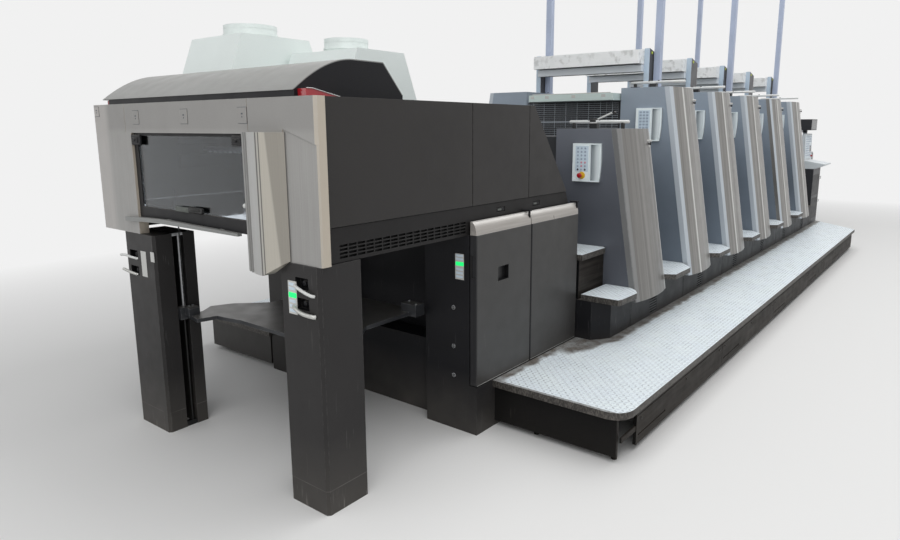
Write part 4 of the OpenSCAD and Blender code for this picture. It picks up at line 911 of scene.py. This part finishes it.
# Cabinet and delivery side
def side_details():
    f, g = Form(), Form()
    for x in (1.364, 1.766):
        f.box((x + 0.004, -0.8655, 1.303), (x + 0.084, -0.8575, 1.325), 0.002)
        g.box((x + 0.014, -0.8665, 1.308), (x + 0.050, -0.8640, 1.319), 0.001)
    f.make("band_latches", "black")
    g.make("band_latch_levers", "belt")
    # Painted highlight: a thin pale strip at each door's foot stands for the light on its bottom edge
    for name, x0, x1, body in (("near", 1.092, 1.655, "near_door"), ("far", 1.673, 2.272, "far_door")):
        Form().box((x0, -0.9275, 0.3062), (x1, -0.9262, 0.3088), 0.0004).make("door_foot_highlight_" + name,
                                                                              "lever_worn", body)


side_details()


# Printing units
def face_y(z, t, side=-1):
    """Outer face of a cover at a height and a distance behind its front edge"""
    back = COVER_Y - 0.045 / math.cos(LEAN) - (z - COVER_FOOT) * math.tan(LEAN)
    out = 0.045 + 0.037 * (1 - (2 * t / UNIT_W - 1) ** 2)
    return side * (back + out / math.cos(LEAN))


def keypads():
    pads, keys, pink, dark = Form(), Form(), Form(), Form()
    for i in range(6):
        x, top = unit(i) - PANEL_OUT, unit_top(i) - (0.108 if i == 0 else 0.180)
        rows = 7 if i == 0 else 9
        pads.box((x - 0.0014, -0.792, top - 0.025 - rows * KEY_ROW), (x + 0.001, -0.684, top - 0.018), 0.0006)
        for r in range(rows):
            for c in range(3):
                y, z = -0.706 - c * 0.030, top - 0.036 - r * KEY_ROW
                form = keys
                if i == 0:
                    form = (pink if (r, c) in ((4, 1), (4, 2), (5, 1))
                            else dark if (r, c) in ((6, 0), (6, 2)) else keys)
                    form.turned((x - 0.001, y, z), (-1, 0, 0), ((0, 0.0080), (0.0015, 0.0080), (0.0024, 0.0068),
                                                               (0.0026, 0.003)), 14)
                else:
                    form.box((x - 0.0030, y - 0.0115, z - 0.009), (x - 0.001, y + 0.0115, z + 0.009), 0.0008)
    x = unit(0) - PANEL_OUT
    pads.make("keypads", "pad")
    keys.make("keys", "key")
    pink.make("keys_pink", "key_pink")
    dark.make("keys_dark", "key_dark")
    z = SHORT - 0.108 - 0.238
    Form().turned((x + 0.001, -0.742, z), (-1, 0, 0), ((0, 0.027), (0.004, 0.027), (0.006, 0.024), (0.0062, 0.004)),
                  28).make("stop_disc", "yellow")
    Form().turned((x - 0.004, -0.735, z), (-1, 0, 0), ((0, 0.010), (0.016, 0.010), (0.018, 0.018), (0.026, 0.0195),
                  (0.032, 0.017), (0.035, 0.010), (0.036, 0.003)), 28).make("stop_button", "red")


keypads()


def unit_details():
    rods, posts, catches, knobs, lattice, depths, dots = (Form() for _ in range(7))
    for i in range(6):
        x, top = unit(i) + 0.2, unit_top(i)
        z = top + 0.052
        rods.sweep([(x, -0.505, z), (x, -0.512, z), (x, -1.0, z), (x, -1.006, z)], [0.009, 0.0125, 0.0125, 0.009], 16)
        for y in (-0.545, -0.955) if i == 0 else (-0.545,):
            posts.box((x - 0.014, y - 0.012, top - 0.001), (x + 0.014, y + 0.012, top + 0.042), 0.003)
            posts.turned((x, y, top + 0.036), (0, 0, 1), ((0, 0.010), (0.018, 0.010), (0.020, 0.006)), 12)
        for y in (-0.765, -0.675):
            posts.ring((x, y), 0.0, 0.009, top + 0.050, top + 0.068, 10)
        t = 0.50 if i == 0 else 0.49
        zc = top - 0.095 if i == 0 else top - 0.105
        y = face_y(zc, t)
        turn = Matrix.Rotation(-math.atan(0.26), 3, "Z")
        u = unit(i) + t
        catches.box((u - 0.045, y - 0.010, zc - 0.007), (u + 0.040, y + 0.012, zc + 0.009), 0.003, turn)
        catches.box((u - 0.030, y - 0.006, zc - 0.050), (u + 0.030, y + 0.012, zc - 0.036), 0.003, turn)
        knobs.turned((u - 0.004, y - 0.004, zc - 0.022), (0, -1, 0),
                     ((0, 0.006), (0.012, 0.006), (0.014, 0.010), (0.022, 0.010), (0.024, 0.005)), 14)
        base = BASE_X + PITCH * i
        # Painted shade: a near-black sheet behind each vent stands for the dark inside of the base
        depths.box((base + 0.368, -1.1285, 0.301), (base + 0.512, -1.1272, 0.449), 0.0004)
        for k in range(6):
            u = base + 0.367 + 0.146 * (k + 0.5) / 6
            lattice.box((u - 0.0025, -1.1345, 0.301), (u + 0.0025, -1.1335, 0.449), 0.0004)
        for k in range(7):
            w = 0.300 + 0.150 * (k + 0.5) / 7
            lattice.box((base + 0.368, -1.1343, w - 0.0025), (base + 0.512, -1.1333, w + 0.0025), 0.0004)
        if i:
            for yd, d in ((-0.5700, -1), (0.6630, 1)):
                dots.turned((unit(i) + 0.490, yd, 2.480), (0, d, 0), ((-0.001, 0.013), (0.003, 0.013), (0.005, 0.010),
                                                                    (0.0055, 0.003)), 16)
    x = unit(0) + 0.2
    rods.sweep([(x + 0.03, -0.70, SHORT + 0.058), (x + 0.03, -0.84, SHORT + 0.116),
                (x + 0.03, -0.875, SHORT + 0.124)], 0.007, 10)
    posts.box((x - 0.02, -0.735, SHORT + 0.04), (x + 0.045, -0.685, SHORT + 0.075), 0.006)
    posts.sweep([(x + 0.012, -0.868, SHORT + 0.122), (x + 0.048, -0.868, SHORT + 0.122)], 0.010, 12)
    rods.make("top_rod_sleeves", "lever")
    posts.make("rod_posts", "rubber")
    catches.make("cover_catches", "lever_worn")
    knobs.make("cover_knobs", "base")
    lattice.make("base_vents", "grille")
    depths.make("base_vent_depths", "void")
    dots.make("plate_dots", "lime")


unit_details()


def wire_guards():
    """Close wires over the coarse guard frames, with a thicker wire across the middle"""
    f = Form()
    for i in range(1, 6):
        x = unit(i) + 0.0003
        z0, z1 = 1.660, 2.030
        for k in range(1, 20):
            z = z0 + (z1 - z0) * k / 20
            r = 0.0012 if k != 10 else 0.0045
            f.box((x - 0.001, -0.478, z - r), (x + 0.003, 0.478, z + r), 0.0005)
        for k in range(1, 16):
            y = -0.48 + 0.96 * k / 16
            f.box((x + 0.002, y - 0.0013, z0), (x + 0.005, y + 0.0013, z1), 0.0005)
    f.make("guard_wires", "wire")


wire_guards()


def top_details():
    """Collars' open ends with a near-black disc inside as painted shade, folded rims of the extraction hoods, tray
    lips and mast feet
    """
    f, dark = Form(), Form()
    for cx, cy, r, z in ((0.8303, 0.700, 0.165, 2.420), (1.100, 0.100, 0.135, 2.320)):
        f.ring((cx, cy), r - 0.006, r + 0.0015, z - 0.012, z + 0.012)
        f.ring((cx, cy), r - 0.001, r + 0.006, z - 0.052, z - 0.040)
        f.ring((cx, cy), r - 0.001, r + 0.020, z - 0.0705, z - 0.0665)
        # Painted shade: a near-black disc inside each collar's open end
        dark.turned((cx, cy, z - 0.0005), (0, 0, 1), ((0, r - 0.006), (0.0025, r - 0.006)), 40)
        for k in range(10):
            a = 2 * math.pi * k / 10
            f.screw((cx + (r + 0.011) * math.cos(a), cy + (r + 0.011) * math.sin(a), z - 0.0665), (0, 0, 1), 0.005)
    f.make("collar_rims", "duct")
    dark.make("collar_mouths", "black")
    f, g = Form(), Form()
    for i in (1, 3, 5):
        for y in (-0.64, 0.545):
            x0 = unit(i) + 0.521
            f.box((x0 - 0.030, y - 0.009, TALL), (x0 + 0.065, y + 0.069, TALL + 0.010), 0.002)
            for dx in (-0.018, 0.0):
                for dy in (0.008, 0.052):
                    g.screw((x0 + dx - 0.006, y + dy, TALL + 0.010), (0, 0, 1), 0.006)
    f.make("mast_feet", "mast")
    g.make("mast_fittings", "black")
    f = Form()
    for i in range(1, 6):
        x = unit(i)
        for y in (-0.40, -0.10, 0.18, 0.34):
            f.box((x - 0.152, y - 0.02, 2.060), (x - 0.149, y + 0.02, 2.085), 0.001)
        f.sweep([(x - 0.135, -0.46, 2.098), (x - 0.135, 0.35, 2.098)], 0.005, 8)
    f.make("tray_trims", "lever_worn")


top_details()


# Feeder
def feeder_details():
    fx0, fx1 = 9.6163, 11.882
    belts, rollers, head, chain, board = Form(), Form(), Form(), Form(), Form()

    def table_top(x):
        return 1.180 + 0.012 + (x - fx0) * 0.157 + 0.0253
    xa, xb = fx0 + 0.06, fx0 + 0.67
    for k in range(6):
        y = -0.45 + k * 0.18
        belts.prism([(xa, table_top(xa) - 0.001), (xb, table_top(xb) - 0.001), (xb, table_top(xb) + 0.003),
                     (xa, table_top(xa) + 0.003)], y - 0.022, y + 0.022)
    for x in (xa + 0.14, xa + 0.38):
        zt = table_top(x)
        rollers.sweep([(x, -0.60, zt + 0.075), (x, 0.60, zt + 0.075)], 0.009, 12)
        for k in range(6):
            y = -0.45 + k * 0.18
            rollers.box((x - 0.008, y - 0.006, zt + 0.030), (x + 0.060, y + 0.006, zt + 0.082), 0.003)
            belts.turned((x + 0.055, y - 0.012, table_top(x + 0.055) + 0.0285), (0, 1, 0),
                         ((0, 0.020), (0.003, 0.025), (0.021, 0.025), (0.024, 0.020)), 20)
    z = 1.700
    xh = fx0 + 0.86
    head.box((xh - 0.06, -0.42, z - 0.16), (xh + 0.24, 0.42, z - 0.002), 0.012)
    for k in range(6):
        y = -0.35 + k * 0.14
        head.sweep([(xh + 0.16, y, z - 0.16), (xh + 0.16, y, z - 0.25)], 0.010, 12)
        belts.turned((xh + 0.16, y, z - 0.248), (0, 0, -1),
                     ((0, 0.011), (0.010, 0.020), (0.024, 0.022), (0.026, 0.012)), 16)
    for k in range(4):
        y = -0.30 + k * 0.20
        head.sweep([(xh + 0.04, y, z - 0.16), (xh + 0.03, y, z - 0.22), (xh - 0.02, y, z - 0.245)], 0.008, 10)
    belts.make("feed_belts", "belt")
    rollers.make("feed_rollers", "steel")
    head.make("suction_head", "base")
    bx0, bx1 = fx0 + 0.70, fx1 - 0.60
    for y in [-0.55 + 0.11 * k for k in range(11)]:
        board.box((bx0 + 0.02, y - 0.045, 0.215), (bx1 - 0.02, y + 0.045, 0.237), 0.003)
    for x in (bx0 + 0.10, (bx0 + bx1) / 2, bx1 - 0.10):
        board.box((x - 0.05, -0.59, 0.135), (x + 0.05, 0.59, 0.215), 0.003)
    board.make("pile_plate", "lift")
    chain.box((bx0, -0.62, 0.1205), (bx0 + 0.05, 0.62, 0.134), 0.002)
    chain.box((bx1 - 0.05, -0.62, 0.1205), (bx1, 0.62, 0.134), 0.002)
    for x in (bx0 + 0.025, bx1 - 0.025):
        for y in (-0.61, 0.61):
            for k in range(52):
                zz = 0.134 + k * 0.0205
                w = 0.006 if k % 2 else 0.004
                chain.box((x - w, y - 0.002, zz), (x + w, y + 0.002, zz + 0.024), 0.001)
    chain.make("feeder_chains", "steel")
    f, g = Form(), Form()
    for s in (-1, 1):
        for x, z in ((10.2, 1.0), (10.9, 1.0), (11.5, 0.7), (10.2, 0.35), (10.9, 0.35), (11.5, 0.3)):
            f.turned((x, s * 0.7095, z), (0, s, 0), ((0, 0.020), (0.004, 0.020), (0.006, 0.016), (0.0065, 0.004)), 18)
        g.box((9.98 if s > 0 else 10.40, s * 0.7098 - 0.0012, 0.50), (10.85, s * 0.7098 + 0.0012, 0.92), 0.0008)
    f.make("feeder_frame_bolts", "steel")
    g.make("feeder_covers", "slate")
    f = Form()
    for y in (-0.68, 0.68):
        f.sweep([(fx1 - 0.40, y, 1.165), (fx1 - 0.40, y, 1.30), (fx1 - 0.36, y, 1.335), (fx1 - 0.10, y, 1.335),
                 (fx1 - 0.06, y, 1.30), (fx1 - 0.06, y, 0.935)], 0.014, 12)
    f.make("feeder_rails", "steel")


feeder_details()


def console_details():
    x0, x1 = 9.6713, 10.2313
    lean_face = math.atan(15 / 413)
    turn = Matrix.Rotation(-lean_face, 3, "X")
    pad, keys, dark = Form(), Form(), Form()
    pad.box((x0 + 0.045, -0.9465, 1.300), (x1 - 0.045, -0.9425, 1.660), 0.001, turn)
    for r in range(9):
        for c in range(11):
            x, z = x0 + 0.085 + c * 0.039, 1.635 - r * 0.036
            if r in (3, 6) and c > 6:
                continue
            y = -0.95 + (z - 1.272) * 15 / 413
            keys.box((x - 0.013, y - 0.0045, z - 0.011), (x + 0.013, y - 0.0005, z + 0.011), 0.001)
    dark.box((x0 + 0.36, -0.9480, 1.40), (x1 - 0.06, -0.9440, 1.50), 0.001, turn)
    pad.make("console_pad", "desk")
    keys.make("console_keys", "key")
    dark.make("console_display", "screen")
    Form().turned((x0 + 0.47, -0.944, 1.335), (0, -1, 0), ((0, 0.026), (0.006, 0.026), (0.007, 0.012), (0.020, 0.012),
                  (0.022, 0.019), (0.032, 0.019), (0.036, 0.010), (0.037, 0.003)), 24).make("console_stop", "red")
    Form().box((x0 + 0.075, -1.0025, 1.752), (x1 - 0.075, -0.9990, 1.898), 0.001).make("console_screen", "screen")
    f = Form()
    for z in (0.35, 0.72):
        f.box((x0 + 0.03, -1.1015, z), (x1 - 0.03, -1.0995, z + 0.33), 0.0008)
    f.make("console_doors", "base")
    f = Form()
    x = x1 - 0.08
    for z in (0.60, 0.97):
        f.sweep([(x, -1.101, z), (x, -1.125, z), (x, -1.128, z + 0.03), (x, -1.101, z + 0.05)], 0.005, 8)
    f.make("console_handles", "steel")


console_details()


# Bolts and screws of the frames and panels
def screws():
    f = Form()
    for x in (0.078, 1.093, 1.147, 1.688, 1.731):
        for z in (1.385, 1.905):
            f.screw((x, 0.9998, z), (0, 1, 0), 0.005)
    for x in (1.08, 1.50, 1.90, 2.26):
        for z in (0.05, 1.16):
            f.screw((x, 0.9628, z), (0, 1, 0), 0.006)
    f.make("drive_panel_screws", "black")
    f = Form()
    for k in range(5):
        x = 1.477 + k * 1.570
        for dx in (0.06, 0.80, 1.50):
            f.screw((x + dx, -1.7520, 0.180), (0, -1, 0), 0.007)
    for x in (1.15, 2.6, 4.1, 5.6, 7.1, 8.6):
        f.screw((x, 1.7520, 0.180), (0, 1, 0), 0.007)
    f.make("skirt_bolts", "base")


screws()


# Floor, lights and background
BACK = (0.88, 0.88, 0.88, 1)


def set_stage():
    mesh = bpy.data.meshes.new("floor")
    mesh.from_pydata([(-60, -60, 0), (90, -60, 0), (90, 60, 0), (-60, 60, 0)], [], [(0, 1, 2, 3)])
    floor = bpy.data.objects.new("floor", mesh)
    k = Kit("floor_paint")
    k.bsdf.inputs["Base Color"].default_value = (0.80, 0.795, 0.785, 1)
    k.bsdf.inputs["Roughness"].default_value = 0.65
    k.bsdf.inputs["Specular IOR Level"].default_value = 0.2
    px = k.split(k.pos)
    dx = k.most(k.minus(k.calc("ABSOLUTE", px[0]), 5.9), 0.0)
    dy = k.most(k.minus(k.calc("ABSOLUTE", px[1]), 1.8), 0.0)
    far = k.calc("SQRT", k.calc("ADD", k.times(dx, dx), k.times(dy, dy)))
    glow = k.n.new("ShaderNodeEmission")
    glow.inputs[0].default_value = BACK
    path = k.n.new("ShaderNodeLightPath")
    seen = k.most(path.outputs["Is Camera Ray"],
                  k.most(path.outputs["Is Glossy Ray"], path.outputs["Is Transmission Ray"]))
    m = k.n.new("ShaderNodeMixShader")
    k.l.new(k.times(k.ramp(far, 0.6, 5.0), seen), m.inputs[0])
    k.l.new(k.bsdf.outputs[0], m.inputs[1])
    k.l.new(glow.outputs[0], m.inputs[2])
    k.l.new(m.outputs[0], k.out.inputs[0])
    mesh.materials.append(k.m)
    scene.collection.objects.link(floor)

    world = bpy.data.worlds.new("world")
    scene.world = world
    world.use_nodes = True
    n, wire = world.node_tree.nodes, world.node_tree.links.new
    n.clear()
    out = n.new("ShaderNodeOutputWorld")
    path = n.new("ShaderNodeLightPath")
    mixer = n.new("ShaderNodeMixShader")
    either, both = n.new("ShaderNodeMath"), n.new("ShaderNodeMath")
    either.operation = both.operation = "MAXIMUM"
    wire(path.outputs["Is Camera Ray"], either.inputs[0])
    wire(path.outputs["Is Glossy Ray"], either.inputs[1])
    wire(either.outputs[0], both.inputs[0])
    wire(path.outputs["Is Transmission Ray"], both.inputs[1])
    wire(both.outputs[0], mixer.inputs[0])
    for slot, (tone, power) in enumerate((((0.96, 0.98, 1.0, 1), 0.32), (BACK, 1.0)), 1):
        light = n.new("ShaderNodeBackground")
        light.inputs[0].default_value, light.inputs[1].default_value = tone, power
        wire(light.outputs[0], mixer.inputs[slot])
    wire(mixer.outputs[0], out.inputs[0])
    for nm, loc, rot, size, power in (
        ("overhead", (FRONT + 4.5, -2.6, 6.4), (0, 0, 0), (22, 6.5), 700),
        ("front_left", (FRONT - 4.5, -5.5, 3.6), (66, 0, -42), (4, 3), 80),
        ("front_right", (FRONT - 5.5, 4.0, 3.6), (66, 0, -125), (4, 3), 40),
    ):
        lamp = bpy.data.lights.new(nm, "AREA")
        lamp.shape = "RECTANGLE"
        lamp.size, lamp.size_y = size
        lamp.energy = power
        o = bpy.data.objects.new(nm, lamp)
        o.location = loc
        o.rotation_euler = [math.radians(a) for a in rot]
        scene.collection.objects.link(o)


set_stage()
